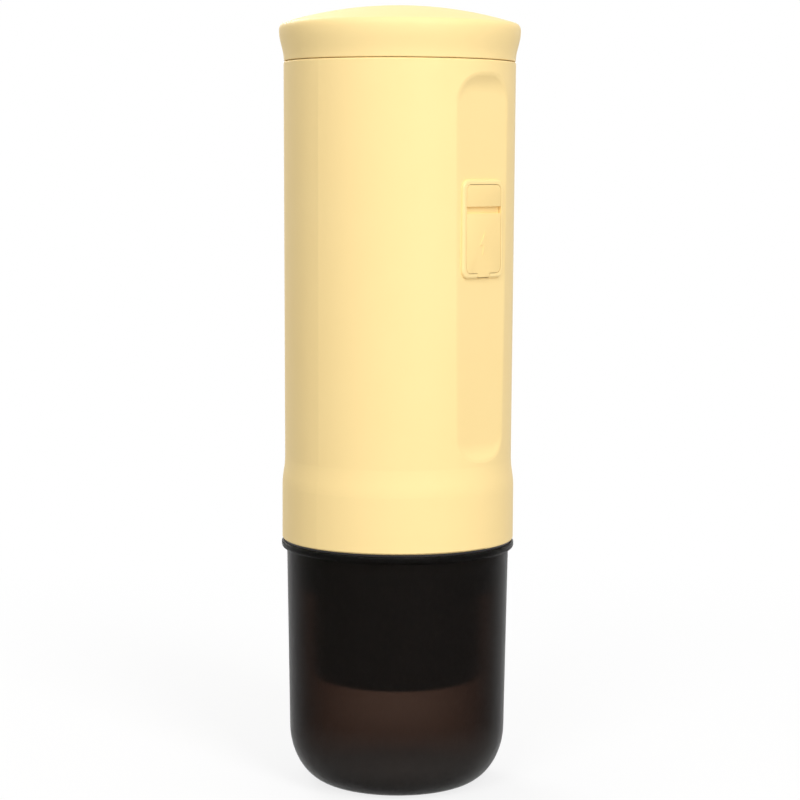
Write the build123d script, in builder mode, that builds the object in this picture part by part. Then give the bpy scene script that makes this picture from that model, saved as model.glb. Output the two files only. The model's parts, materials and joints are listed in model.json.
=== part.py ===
from build123d import *

import os
from math import cos, radians, sin, sqrt

os.makedirs("parts", exist_ok=True)

# Portable battery espresso maker, in millimetres, +Z up.
# The origin is the middle of the cup's foot, the button faces -Y and the charging port +Y.

# Clearances
running_gap = 0.3
fit_gap = 0.1
shaft_gap = 0.05
snug_gap = 0.2

# Sleeve: one moulded shell with a collar at its foot
body_radius = 34.2
body_draft = 0.45
body_wall = 2.2
body_height = 142.9
collar_step = 0.8
collar_height = 16.5
flare_height = 8.0
sleeve_edge = 0.5
lip_height = 2.2

# Cup
cup_height = 74.3
cup_rim_overhang = 0.2
cup_rim_step = 1.6
cup_rim_height = 2.2
cup_rim_edge = 1.1
cup_draft = 0.9
cup_wall = 2.0
cup_floor = 3.0
cup_round_width = 13.0
cup_round_height = 17.5
cup_round_start = 270.0
cup_round_arc = 90.0

# Base ring and the seal that holds the cup
base_flange_height = 0.7
base_flange_inset = 0.7
base_plate_height = 4.0
spigot_depth = 14.0
spigot_wall = 2.9
seal_section = 0.9
seal_proud = 0.8
seal_drop = 8.0

# Lid
lid_gap = 0.2
lid_inset = 0.1
lid_flare = 1.45
lid_rim_rise = 8.9
lid_dome_inset = 1.4
lid_dome_rise = 5.15
lid_crown_rise = 2.35
lid_wall = 1.65
lid_edge = 0.3
lid_roof = 2.2
liner_wall = 1.7
liner_roof = 1.4
liner_recess = 0.6
lid_seal_height = 1.5
lid_thread_room = 1.3
vent_radius = 2.2
vent_flange = 1.8
vent_bill = 4.0

# Water tank and heater
neck_wall = 2.2
neck_rise = 6.6
tank_wall = 1.2
tank_floor = 1.5
tank_flange_height = 1.8
tank_flange_inset = 0.3
tank_leg_height = 10.5
tank_leg_radius = 2.4
tank_leg_angles = (10.0, 170.0, 270.0)
outlet_share = 0.0702
outlet_bore = 1.4
outlet_length = 7.0
strainer_gap = 0.4
strainer_height = 3.0
strainer_wall = 0.5
strainer_slots = 8
strainer_slot_width = 0.9
heater_share = 0.526
heater_height = 3.0
element_circle_share = 0.694
element_section_share = 0.122
element_arc = 300.0
cutout_share = 0.278
cutout_height = 4.2
cutout_leg_height = 2.6
probe_share = 0.1
probe_height = 5.0
probe_reach_share = 0.428

# Back panel, port frame and port cover
panel_depth = 1.43
panel_width = 40.0
panel_rise = 26.0
panel_top_gap = 4.4
panel_corner = 16.0
panel_cove = 8.0
panel_overrun = 3.1
panel_edge = 2.5
panel_wall = 1.9
frame_width = 18.0
frame_height = 28.7
frame_corner = 2.6
frame_rise = 0.9
frame_wall = 1.4
frame_edge = 0.8
port_drop = 5.45
pocket_depth = 0.7
cover_gap = 0.15
cover_edge = 0.3
anchor_height = 6.3
groove_height = 2.0
web_thickness = 0.4
hinge_depth = 1.1
peg_radius = 1.3
peg_spread = 8.0
peg_head = 0.7
peg_head_height = 0.9
tab_width = 5.0
tab_length = 1.2
nub_length = 7.6
nub_width = 2.0
nub_depth = 1.0

# Charging receptacle and control board
usb_width = 8.94
usb_height = 3.26
usb_depth_share = 0.205
usb_sheet = 0.3
tongue_width = 6.7
tongue_height = 0.7
tongue_inset = 1.4
tongue_base = 2.5
board_share = 0.877
board_thickness = 1.6
board_gap = 0.9
board_top_gap = 1.0
rib_height = 3.0
rib_wall = 1.6
coil_size = 7.0
coil_height = 3.0
coil_rises = (14.0, 26.0)
chip_size = 5.0
chip_height = 1.1
chip_places = ((-8.0, 22.0), (-8.0, 40.0), (7.0, 38.0))
resistor_length = 4.0
resistor_width = 2.0
resistor_places = ((8.0, 20.0), (8.0, 26.0), (8.0, 50.0), (-8.0, 54.0))
capacitor_radius = 3.2
capacitor_height = 4.6
capacitor_rise = 46.0

# Power button, its light ring and its board
button_drop = 22.0
button_radius = 6.5
button_proud = 0.5
button_travel = 0.6
button_flange = 0.7
button_flange_height = 0.8
button_stem = 1.6
light_width = 1.3
light_proud = 0.1
light_flange = 1.2
light_flange_height = 1.0
button_board_width = 20.0
button_board_height = 34.0
button_board_thickness = 1.2
button_boss_length = 3.8
button_boss_radius = 2.6
button_boss_inset = 3.5
switch_size = 6.0
switch_height = 2.0
plunger_radius = 1.6

# Battery, pump and motor bay
cell_share = 0.269
cell_length = 65.0
cell_tip_radius = 3.6
cell_tip_height = 0.8
cell_margin = 1.0
side_cell_share = 0.117
link_thickness = 0.3
link_width = 7.0
stack_slack = 0.1
pump_share = 0.38
pump_height = 24.0
pump_waist = 1.2
bracket_height = 8.0
bracket_wall = 2.4
bracket_window = 12.0
motor_share = 0.351
motor_slack = 0.7
motor_edge = 1.0
motor_boss_radius = 4.0
motor_boss_height = 1.0
terminal_spread = 9.0
shaft_radius = 1.15
shaft_socket = 4.0
coupling_radius = 5.0
coupling_length = 5.0
barb_length = 6.0
inlet_angle = -26.0
inlet_reach_share = 0.114
inlet_boss_share = 0.1287
inlet_boss_height = 14.0
hose_wall = 0.9
pressure_radius = 1.5
pressure_wall = 1.4

# Trays
group_room = 9.3
tray_inset = 0.5
tray_thickness = 3.0
socket_wall = 1.2
column_share = 0.0877
column_margin = 0.6
column_angles = (-34.0, 47.5, 132.5, 214.0)
terminal_hole_radius = 6.5

# Brew group
group_flange_height = 4.0
group_flange_inset = 1.5
gasket_height = 2.0
gasket_wall = 2.8
screen_thickness = 0.6
screen_lip = 1.0
screen_chamber = 2.5
screen_hole_radius = 0.7
screen_rings = 3
screen_post_radius = 3.5
channel_radius = 0.9

# Brew head and filter basket
brew_side_gap = 1.87
brew_drop = 2.3
brew_height = 40.0
brew_wall = 4.1
brew_thread_room = 1.1
brew_engagement = 10.0
brew_edge = 1.0
brew_foot_edge = 3.0
brew_funnel_height = 4.0
basket_flange_height = 1.0
basket_wall = 0.6
basket_depth = 18.0
basket_flange_width = 2.6
basket_gap = 0.5
basket_ledge = 1.2
disc_thickness = 0.6
disc_hole_radius = 0.6
disc_rings = 4
drip_gap = 2.0
spout_radius = 6.0
spout_length = 3.0
spout_bore = 2.0

# Screws
screw_radius = 1.25
screw_head_radius = 2.1
screw_head_height = 1.6
screw_count = 4
screw_bite = 8.0
board_screw_radius = 0.9
board_screw_head_radius = 1.8
board_screw_head_height = 1.2
board_screw_bite = 2.6
shower_screw_radius = 1.5
shower_screw_head_radius = 2.6
shower_screw_length = 7.0

# Radii that follow from the sleeve
collar_radius = body_radius + collar_step
shoulder_radius = body_radius + body_draft
bore_radius = body_radius - body_wall
cup_rim_radius = collar_radius + cup_rim_overhang
cup_mouth_radius = cup_rim_radius - cup_rim_step
cup_foot_radius = cup_mouth_radius - cup_draft
lid_skirt_radius = shoulder_radius - lid_inset
lid_rim_radius = lid_skirt_radius + lid_flare
lid_dome_radius = lid_rim_radius - lid_dome_inset
lid_bore_radius = lid_skirt_radius - lid_wall
seat_radius = lid_bore_radius - running_gap
liner_radius = lid_bore_radius - fit_gap
liner_bore = liner_radius - liner_wall
neck_radius = liner_bore - lid_thread_room
tank_radius = neck_radius - neck_wall
tray_radius = bore_radius - tray_inset

# Sizes of what fills the bore, as shares of the sleeve's radius
cell_radius = cell_share * body_radius
side_cell_offset = side_cell_share * body_radius
pump_radius = pump_share * body_radius
motor_radius = motor_share * body_radius
column_radius = column_share * body_radius
board_width = board_share * body_radius
usb_depth = usb_depth_share * body_radius
outlet_radius = outlet_share * body_radius
inlet_reach = inlet_reach_share * body_radius
inlet_boss_radius = inlet_boss_share * body_radius
heater_radius = heater_share * body_radius
element_circle = element_circle_share * heater_radius
element_section = element_section_share * heater_radius
cutout_radius = cutout_share * heater_radius
probe_radius = probe_share * heater_radius
probe_reach = probe_reach_share * heater_radius
button_boss_spread = button_board_height - 2 * button_boss_inset

# Heights from the floor up
body_bottom = cup_height + base_flange_height
body_top = body_bottom + body_height
base_plate_top = body_bottom + base_plate_height
group_flange_top = base_plate_top + group_flange_height
brew_top = cup_height - brew_drop
brew_bottom = brew_top - brew_height
boss_bottom = brew_top - brew_engagement
basket_top = boss_bottom - gasket_height
basket_seat = basket_top - basket_flange_height
basket_bottom = basket_top - basket_depth
funnel_top = basket_bottom - drip_gap
screen_seat = boss_bottom + screen_lip
chamber_top = screen_seat + screen_chamber
bay_height = cell_length + 2 * link_thickness + stack_slack
lower_tray_bottom = group_flange_top + group_room
lower_tray_top = lower_tray_bottom + tray_thickness
upper_tray_bottom = lower_tray_top + bay_height
upper_tray_top = upper_tray_bottom + tray_thickness
tank_bottom = upper_tray_top + tank_leg_height
tank_inside_bottom = tank_bottom + tank_floor
tank_flange_top = body_top - lip_height
neck_top = body_top + neck_rise
heater_bottom = tank_bottom - heater_height
pump_top = lower_tray_top + pump_height
bracket_top = pump_top + bracket_height
motor_top = upper_tray_bottom - motor_slack
lid_bottom = body_top + lid_gap
lid_widest = lid_bottom + lid_rim_rise
lid_dome_foot = lid_widest + lid_crown_rise
lid_top = lid_dome_foot + lid_dome_rise
liner_roof_bottom = neck_top + lid_seal_height
liner_top = liner_roof_bottom + liner_roof
seat_top = lid_bottom + liner_recess - running_gap

# Places from the back panel forward
panel_height = body_height - panel_rise - panel_top_gap
panel_floor = body_radius - panel_depth
panel_inside = panel_floor - panel_wall
pocket_floor = panel_floor - pocket_depth
port_center = tank_bottom - port_drop
board_face = pocket_floor - fit_gap - usb_depth
board_inside = board_face - board_thickness
back_cell_y = board_inside - board_gap - cell_radius
pump_y = back_cell_y - cell_radius - board_gap - pump_radius
side_cell_x = sqrt((tray_radius - cell_margin - cell_radius) ** 2 - side_cell_offset**2)
cell_places = ((-side_cell_x, side_cell_offset), (side_cell_x, side_cell_offset), (0, back_cell_y))
inlet_x = (pump_radius + inlet_reach) * cos(radians(inlet_angle))
inlet_y = pump_y + (pump_radius + inlet_reach) * sin(radians(inlet_angle))
inlet_top = lower_tray_top + inlet_boss_height
strainer_radius = tank_radius - strainer_gap - sqrt(inlet_x**2 + inlet_y**2)
column_circle = tray_radius - column_radius - column_margin
column_places = [(column_circle * cos(radians(a)), column_circle * sin(radians(a))) for a in column_angles]
tank_leg_circle = tank_radius + tank_wall - tank_leg_radius - fit_gap
tank_leg_places = [
    (tank_leg_circle * cos(radians(a)), tank_leg_circle * sin(radians(a))) for a in tank_leg_angles
]
button_height = upper_tray_bottom - button_drop
button_board_face = bore_radius - button_boss_length

# Port cover, in heights along the back panel
pocket_width = frame_width - 2 * frame_wall
pocket_height = frame_height - 2 * frame_wall
pocket_corner = frame_corner - frame_wall / 2
cover_width = pocket_width - 2 * cover_gap
cover_top = port_center + pocket_height / 2 - cover_gap
cover_bottom = port_center - pocket_height / 2 + cover_gap
cover_corner = pocket_corner - cover_gap
anchor_bottom = cover_top - anchor_height
flap_top = anchor_bottom - groove_height
flap_height = flap_top - cover_bottom
usb_center = (flap_top + cover_bottom) / 2

# Planes that look out of the back panel and out of the front of the sleeve
back = Plane(origin=(0, panel_floor, 0), x_dir=(-1, 0, 0), z_dir=(0, 1, 0))
front = Plane(origin=(0, 0, button_height), x_dir=(1, 0, 0), z_dir=(0, -1, 0))


def outline(*points):
    """Return the closed face of an outline given as (radius, height) points in the XZ plane."""
    with BuildSketch(Plane.XZ) as face:
        with BuildLine():
            Polyline(*points, close=True)
        make_face()
    return face.sketch


def tube_section(low, high, inner, outer):
    """Return the XZ section of a plain ring between two heights and two radii."""
    return outline((inner, low), (outer, low), (outer, high), (inner, high))


def circles(piece, radius):
    """Return a piece's circular edges of one radius."""
    round_edges = piece.edges().filter_by(GeomType.CIRCLE)
    return round_edges.filter_by(lambda edge: abs(edge.radius - radius) < 0.001)


def cup_inside(height):
    """Return the cup's inner radius at a height above its base rounding."""
    share = (height - cup_round_height) / (cup_height - cup_round_height)
    return cup_foot_radius - cup_wall + cup_draft * share


def sleeve_radius(height):
    """Return the sleeve's outer radius at a height above the flare."""
    waist = body_bottom + collar_height + flare_height
    return body_radius + body_draft * (height - waist) / (body_top - waist)


# Cup
with BuildPart() as cup:
    with BuildSketch(Plane.XZ):
        with BuildLine():
            round_center = (cup_foot_radius - cup_round_width, cup_round_height)
            Line((0, 0), (cup_foot_radius - cup_round_width, 0))
            for wall, floor in ((0, 0), (cup_wall, cup_floor)):
                EllipticalCenterArc(
                    round_center,
                    cup_round_width - wall,
                    cup_round_height - floor,
                    cup_round_start,
                    arc_size=cup_round_arc,
                )
            Polyline(
                (cup_foot_radius, cup_round_height),
                (cup_mouth_radius, cup_height - cup_rim_height),
                (cup_rim_radius, cup_height - cup_rim_height),
                (cup_rim_radius, cup_height),
                (cup_mouth_radius - cup_wall, cup_height),
                (cup_foot_radius - cup_wall, cup_round_height),
            )
            Polyline((cup_foot_radius - cup_round_width, cup_floor), (0, cup_floor), (0, 0))
        make_face()
    revolve(axis=Axis.Z)
    fillet(circles(cup, cup_rim_radius).sort_by(Axis.Z)[0], cup_rim_edge)
    fillet(circles(cup, cup_rim_radius).sort_by(Axis.Z)[-1], sleeve_edge)

# Seal ring on the spigot that grips the cup
seal_height = cup_height - seal_drop
seal_outer = cup_inside(seal_height) - running_gap
seal_circle = seal_outer - seal_section
spigot_radius = seal_outer - seal_proud
spigot_bore = spigot_radius - spigot_wall
with BuildPart() as cup_seal:
    with BuildSketch(Plane.XZ):
        with Locations((seal_circle, seal_height)):
            Circle(seal_section)
    revolve(axis=Axis.Z)

# Base ring: flange under the sleeve, plate inside it and spigot into the cup
brew_radius = spigot_bore - brew_side_gap
boss_radius = brew_radius - brew_wall - brew_thread_room
base_screw_circle = (boss_radius + spigot_bore) / 2
groove_radius = seal_circle - seal_section - fit_gap
groove_half = seal_section + fit_gap
with BuildPart() as base_ring:
    revolve(
        outline(
            (boss_radius + fit_gap, body_bottom),
            (spigot_bore, body_bottom),
            (spigot_bore, cup_height - spigot_depth),
            (spigot_radius, cup_height - spigot_depth),
            (spigot_radius, seal_height - groove_half),
            (groove_radius, seal_height - groove_half),
            (groove_radius, seal_height + groove_half),
            (spigot_radius, seal_height + groove_half),
            (spigot_radius, cup_height),
            (collar_radius - base_flange_inset, cup_height),
            (collar_radius - base_flange_inset, body_bottom),
            (bore_radius - fit_gap, body_bottom),
            (bore_radius - fit_gap, base_plate_top),
            (boss_radius + fit_gap, base_plate_top),
        ),
        axis=Axis.Z,
    )
    with Locations(Plane.XY.offset(body_bottom)):
        with PolarLocations(base_screw_circle, screw_count, start_angle=45):
            Cylinder(
                screw_head_radius + fit_gap,
                screw_head_height,
                align=(Align.CENTER, Align.CENTER, Align.MIN),
                mode=Mode.SUBTRACT,
            )
            Hole(screw_radius + fit_gap)

# Group block: water inlet on top, threaded boss below with the spreading chamber in its face
with BuildPart() as group_block:
    group_flange_radius = bore_radius - group_flange_inset
    chamber_radius = boss_radius - gasket_wall - screen_lip
    revolve(
        outline(
            (0, screen_seat),
            (screen_post_radius, screen_seat),
            (screen_post_radius, chamber_top),
            (chamber_radius, chamber_top),
            (chamber_radius, screen_seat),
            (chamber_radius + screen_lip, screen_seat),
            (chamber_radius + screen_lip, boss_bottom),
            (boss_radius, boss_bottom),
            (boss_radius, base_plate_top),
            (group_flange_radius, base_plate_top),
            (group_flange_radius, group_flange_top),
            (0, group_flange_top),
        ),
        axis=Axis.Z,
    )
    with BuildSketch(Plane.XY.offset(group_flange_top)):
        with Locations((0, pump_y)):
            Circle(pressure_radius)
    extrude(amount=barb_length / 2)
    with BuildSketch(Plane.XY.offset(chamber_top)):
        with Locations((0, pump_y)):
            Circle(channel_radius)
    extrude(amount=group_flange_top + barb_length / 2 - chamber_top, mode=Mode.SUBTRACT)
    with Locations(Plane.XY.offset(group_flange_top)):
        with PolarLocations(base_screw_circle, screw_count, start_angle=45):
            Hole(screw_radius + fit_gap, depth=group_flange_height)
    with BuildSketch(Plane.XY.offset(screen_seat)):
        Circle(shower_screw_radius + shaft_gap)
    extrude(amount=shower_screw_length, mode=Mode.SUBTRACT)

# Group gasket under the boss
with BuildPart() as group_gasket:
    revolve(tube_section(basket_top, boss_bottom, boss_radius - gasket_wall, boss_radius), axis=Axis.Z)

# Shower screen with its rings of holes and its screw
screen_radius = chamber_radius + screen_lip - fit_gap
screen_pitch = (chamber_radius - screen_post_radius) / screen_rings
with BuildPart() as shower_screen:
    with BuildSketch(Plane.XY.offset(screen_seat - screen_thickness)):
        Circle(screen_radius)
        Circle(shower_screw_radius + shaft_gap, mode=Mode.SUBTRACT)
        for ring in range(screen_rings):
            with PolarLocations(screen_post_radius + (ring + 0.5) * screen_pitch, 8 + 6 * ring):
                Circle(screen_hole_radius, mode=Mode.SUBTRACT)
    extrude(amount=screen_thickness)

with BuildPart() as shower_screw:
    head_top = screen_seat - screen_thickness
    with BuildSketch(Plane.XY.offset(head_top - screw_head_height)):
        Circle(shower_screw_head_radius)
    extrude(amount=screw_head_height)
    with BuildSketch(Plane.XY.offset(head_top)):
        Circle(shower_screw_radius)
    extrude(amount=shower_screw_length)

# Filter basket and its perforated disc
basket_flange_radius = brew_radius - brew_wall - running_gap
basket_radius = basket_flange_radius - basket_flange_width
disc_radius = basket_radius - basket_wall - fit_gap
with BuildPart() as filter_basket:
    revolve(
        outline(
            (basket_radius - basket_wall - basket_ledge, basket_bottom),
            (basket_radius, basket_bottom),
            (basket_radius, basket_seat),
            (basket_flange_radius, basket_seat),
            (basket_flange_radius, basket_top),
            (basket_radius - basket_wall, basket_top),
            (basket_radius - basket_wall, basket_bottom + basket_wall),
            (basket_radius - basket_wall - basket_ledge, basket_bottom + basket_wall),
        ),
        axis=Axis.Z,
    )

with BuildPart() as filter_disc:
    disc_pitch = (disc_radius - basket_ledge) / (disc_rings + 0.5)
    with BuildSketch(Plane.XY.offset(basket_bottom + basket_wall)):
        Circle(disc_radius)
        Circle(disc_hole_radius, mode=Mode.SUBTRACT)
        for ring in range(1, disc_rings + 1):
            with PolarLocations(ring * disc_pitch, 6 * ring):
                Circle(disc_hole_radius, mode=Mode.SUBTRACT)
    extrude(amount=disc_thickness)

# Brew head: screws over the boss and carries the basket, with a funnel to its spout
with BuildPart() as brew_head:
    brew_bore = brew_radius - brew_wall
    revolve(
        outline(
            (spout_bore, brew_bottom - spout_length),
            (spout_radius, brew_bottom - spout_length),
            (spout_radius, brew_bottom),
            (brew_radius, brew_bottom),
            (brew_radius, brew_top),
            (brew_bore, brew_top),
            (brew_bore, basket_seat),
            (basket_radius + basket_gap, basket_seat),
            (basket_radius + basket_gap, funnel_top),
            (spout_bore, funnel_top - brew_funnel_height),
        ),
        axis=Axis.Z,
    )
    fillet(circles(brew_head, brew_radius).sort_by(Axis.Z)[-1], brew_edge)
    fillet(circles(brew_head, brew_radius).sort_by(Axis.Z)[0], brew_foot_edge)
    fillet(circles(brew_head, spout_radius).sort_by(Axis.Z)[0], brew_edge)

# Trays: sockets for the cells, the pump or motor and the control board
board_slot_y = (board_face + board_inside) / 2
board_slot = board_thickness + 2 * fit_gap


def bay_sockets(height, round_radius):
    """Return the sketch of the socket walls that hold the cells and the pump or motor on a tray."""
    with BuildSketch(Plane.XY.offset(height)) as walls:
        with Locations(*cell_places):
            Circle(cell_radius + snug_gap + socket_wall)
        with Locations((0, pump_y)):
            Circle(round_radius + snug_gap + socket_wall)
        Circle(tray_radius, mode=Mode.INTERSECT)
        with Locations(*cell_places):
            Circle(cell_radius + snug_gap, mode=Mode.SUBTRACT)
        with Locations((0, pump_y)):
            Circle(round_radius + snug_gap, mode=Mode.SUBTRACT)
        for side in cell_places[:2]:
            with BuildLine():
                Line(side, cell_places[2])
            trace(line_width=link_width + 2 * running_gap, mode=Mode.SUBTRACT)
        with BuildLine():
            Line((0, pump_y), (inlet_x, inlet_y))
        trace(line_width=2 * (inlet_boss_radius + running_gap), mode=Mode.SUBTRACT)
    return walls.sketch


with BuildPart() as lower_tray:
    with BuildSketch(Plane.XY.offset(lower_tray_bottom)):
        Circle(tray_radius)
    extrude(amount=tray_thickness)
    extrude(bay_sockets(lower_tray_top, pump_radius), amount=rib_height)
    with BuildSketch(Plane.XY.offset(lower_tray_top)):
        with Locations((0, board_slot_y)):
            Rectangle(board_width + 2 * rib_wall, board_slot + 2 * rib_wall)
    extrude(amount=rib_height)
    with BuildSketch(Plane.XY.offset(lower_tray_top)):
        with Locations((0, board_slot_y)):
            Rectangle(board_width + 2 * fit_gap, board_slot)
        with Locations(cell_places[2]):
            Circle(cell_radius + snug_gap)
    extrude(amount=rib_height, mode=Mode.SUBTRACT)
    with BuildSketch(Plane.XY.offset(lower_tray_top)):
        with Locations(*column_places):
            Circle(column_radius)
    extrude(amount=bay_height)
    with BuildSketch(Plane.XY.offset(group_flange_top)):
        with PolarLocations(base_screw_circle, screw_count, start_angle=45):
            Circle(column_radius)
    extrude(amount=lower_tray_bottom - group_flange_top)
    with BuildSketch(Plane.XY.offset(group_flange_top)):
        with PolarLocations(base_screw_circle, screw_count, start_angle=45):
            Circle(screw_radius + shaft_gap)
    extrude(amount=lower_tray_bottom - group_flange_top, mode=Mode.SUBTRACT)
    with BuildSketch(Plane.XY.offset(upper_tray_bottom - screw_bite)):
        with Locations(*column_places):
            Circle(screw_radius + shaft_gap)
    extrude(amount=screw_bite, mode=Mode.SUBTRACT)
    with BuildSketch(Plane.XY.offset(lower_tray_bottom)):
        with Locations((0, pump_y)):
            Circle(pressure_radius + fit_gap + pressure_wall + running_gap)
    extrude(amount=tray_thickness, mode=Mode.SUBTRACT)

with BuildPart() as upper_tray:
    with BuildSketch(Plane.XY.offset(upper_tray_bottom)):
        Circle(tray_radius)
    extrude(amount=tray_thickness)
    extrude(bay_sockets(upper_tray_bottom - rib_height, motor_radius), amount=rib_height)
    with BuildSketch(Plane.XY.offset(upper_tray_bottom - rib_height)):
        with Locations((0, board_inside - fit_gap)):
            Rectangle(2 * tray_radius, tray_radius, align=(Align.CENTER, Align.MIN))
    extrude(amount=rib_height + tray_thickness, mode=Mode.SUBTRACT)
    with BuildSketch(Plane.XY.offset(upper_tray_bottom - rib_height)):
        with Locations(*column_places):
            Circle(column_radius + running_gap)
    extrude(amount=rib_height, mode=Mode.SUBTRACT)
    with BuildSketch(Plane.XY.offset(upper_tray_bottom)):
        with Locations(*column_places):
            Circle(screw_radius + fit_gap)
        with Locations(*tank_leg_places):
            Circle(screw_radius + fit_gap)
        with Locations((inlet_x, inlet_y)):
            Circle(outlet_radius + fit_gap + hose_wall + running_gap)
        with Locations((0, pump_y)):
            Circle(terminal_hole_radius)
    extrude(amount=tray_thickness, mode=Mode.SUBTRACT)
    with BuildSketch(Plane.XY.offset(upper_tray_bottom)):
        with Locations(*tank_leg_places):
            Circle(screw_head_radius + fit_gap)
    extrude(amount=screw_head_height, mode=Mode.SUBTRACT)

# Battery cells and the strips that link them
cells = []
for place in cell_places:
    with BuildPart() as cell:
        with BuildSketch(Plane.XY.offset(lower_tray_top + link_thickness)):
            with Locations(place):
                Circle(cell_radius)
        extrude(amount=cell_length - cell_tip_height)
        fillet(circles(cell, cell_radius), cell_tip_height)
        with BuildSketch(Plane.XY.offset(lower_tray_top + link_thickness + cell_length - cell_tip_height)):
            with Locations(place):
                Circle(cell_tip_radius)
        extrude(amount=cell_tip_height)
    cells.append(cell)

with BuildPart() as cell_links:
    with BuildSketch(Plane.XY.offset(lower_tray_top)):
        with BuildLine():
            Line(cell_places[0], cell_places[2])
        trace(line_width=link_width)
        with Locations(cell_places[1]):
            Circle(link_width / 2)
    extrude(amount=link_thickness)
    with BuildSketch(Plane.XY.offset(lower_tray_top + link_thickness + cell_length)):
        with BuildLine():
            Line(cell_places[2], cell_places[1])
        trace(line_width=link_width)
        with Locations(cell_places[0]):
            Circle(link_width / 2)
    extrude(amount=link_thickness)

# Pump with its inlet boss and its two barbs
with BuildPart() as pump_body:
    with BuildSketch(Plane.XY.offset(lower_tray_top)):
        with Locations((0, pump_y)):
            Circle(pump_radius)
    extrude(amount=pump_height)
    with BuildSketch(Plane.XY.offset(lower_tray_top + pump_height / 3)):
        with Locations((0, pump_y)):
            Circle(pump_radius)
            Circle(pump_radius - pump_waist, mode=Mode.SUBTRACT)
    extrude(amount=pump_waist, mode=Mode.SUBTRACT)
    with BuildSketch(Plane.XY.offset(lower_tray_top)):
        with BuildLine():
            Line((0, pump_y), (inlet_x, inlet_y))
        trace(line_width=2 * inlet_boss_radius)
    extrude(amount=inlet_boss_height)
    with BuildSketch(Plane.XY.offset(inlet_top)):
        with Locations((inlet_x, inlet_y)):
            Circle(outlet_radius)
    extrude(amount=barb_length)
    with BuildSketch(Plane.XY.offset(lower_tray_top)):
        with Locations((0, pump_y)):
            Circle(pressure_radius)
    extrude(amount=-barb_length / 2)
    with Locations(Location((0, pump_y, pump_top))):
        Hole(shaft_radius + shaft_gap, depth=shaft_socket)

with BuildPart() as pump_bracket:
    with BuildSketch(Plane.XY.offset(pump_top)):
        with Locations((0, pump_y)):
            Circle(pump_radius)
            Circle(pump_radius - bracket_wall, mode=Mode.SUBTRACT)
    extrude(amount=bracket_height)
    with Locations(Location((0, pump_y, pump_top + bracket_height / 2))):
        Box(2 * pump_radius, bracket_window, bracket_height / 2, mode=Mode.SUBTRACT)

with BuildPart() as motor:
    with BuildSketch(Plane.XY.offset(bracket_top)):
        with Locations((0, pump_y)):
            Circle(motor_radius)
    extrude(amount=motor_top - bracket_top)
    fillet(circles(motor, motor_radius), motor_edge)
    with BuildSketch(Plane.XY.offset(bracket_top)):
        with Locations((0, pump_y)):
            Circle(motor_boss_radius)
    extrude(amount=-motor_boss_height)
    with BuildSketch(Plane.XY.offset(motor_top)):
        with Locations((0, pump_y)):
            with GridLocations(terminal_spread, 0, 2, 1):
                Rectangle(motor_boss_height, 2 * motor_boss_height)
    extrude(amount=tray_thickness)
    with BuildSketch(Plane.XY.offset(bracket_top - motor_boss_height)):
        with Locations((0, pump_y)):
            Circle(shaft_radius + shaft_gap)
    extrude(amount=shaft_socket + motor_boss_height, mode=Mode.SUBTRACT)

with BuildPart() as motor_shaft:
    shaft_low = pump_top - shaft_socket + running_gap
    shaft_high = bracket_top + shaft_socket - running_gap
    with BuildSketch(Plane.XY.offset(shaft_low)):
        with Locations((0, pump_y)):
            Circle(shaft_radius)
    extrude(amount=shaft_high - shaft_low)

with BuildPart() as shaft_coupling:
    with BuildSketch(Plane.XY.offset(pump_top + running_gap)):
        with Locations((0, pump_y)):
            Circle(coupling_radius)
            Circle(shaft_radius + shaft_gap, mode=Mode.SUBTRACT)
            with PolarLocations(coupling_radius, 3):
                Circle(shaft_radius, mode=Mode.SUBTRACT)
    extrude(amount=coupling_length)

# Hoses: tank to pump and pump to group
with BuildPart() as suction_hose:
    with BuildSketch(Plane.XY.offset(inlet_top)):
        with Locations((inlet_x, inlet_y)):
            Circle(outlet_radius + fit_gap + hose_wall)
            Circle(outlet_radius + fit_gap, mode=Mode.SUBTRACT)
    extrude(amount=tank_bottom - inlet_top)

with BuildPart() as pressure_hose:
    with BuildSketch(Plane.XY.offset(group_flange_top)):
        with Locations((0, pump_y)):
            Circle(pressure_radius + fit_gap + pressure_wall)
            Circle(pressure_radius + fit_gap, mode=Mode.SUBTRACT)
    extrude(amount=lower_tray_top - group_flange_top)

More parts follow.
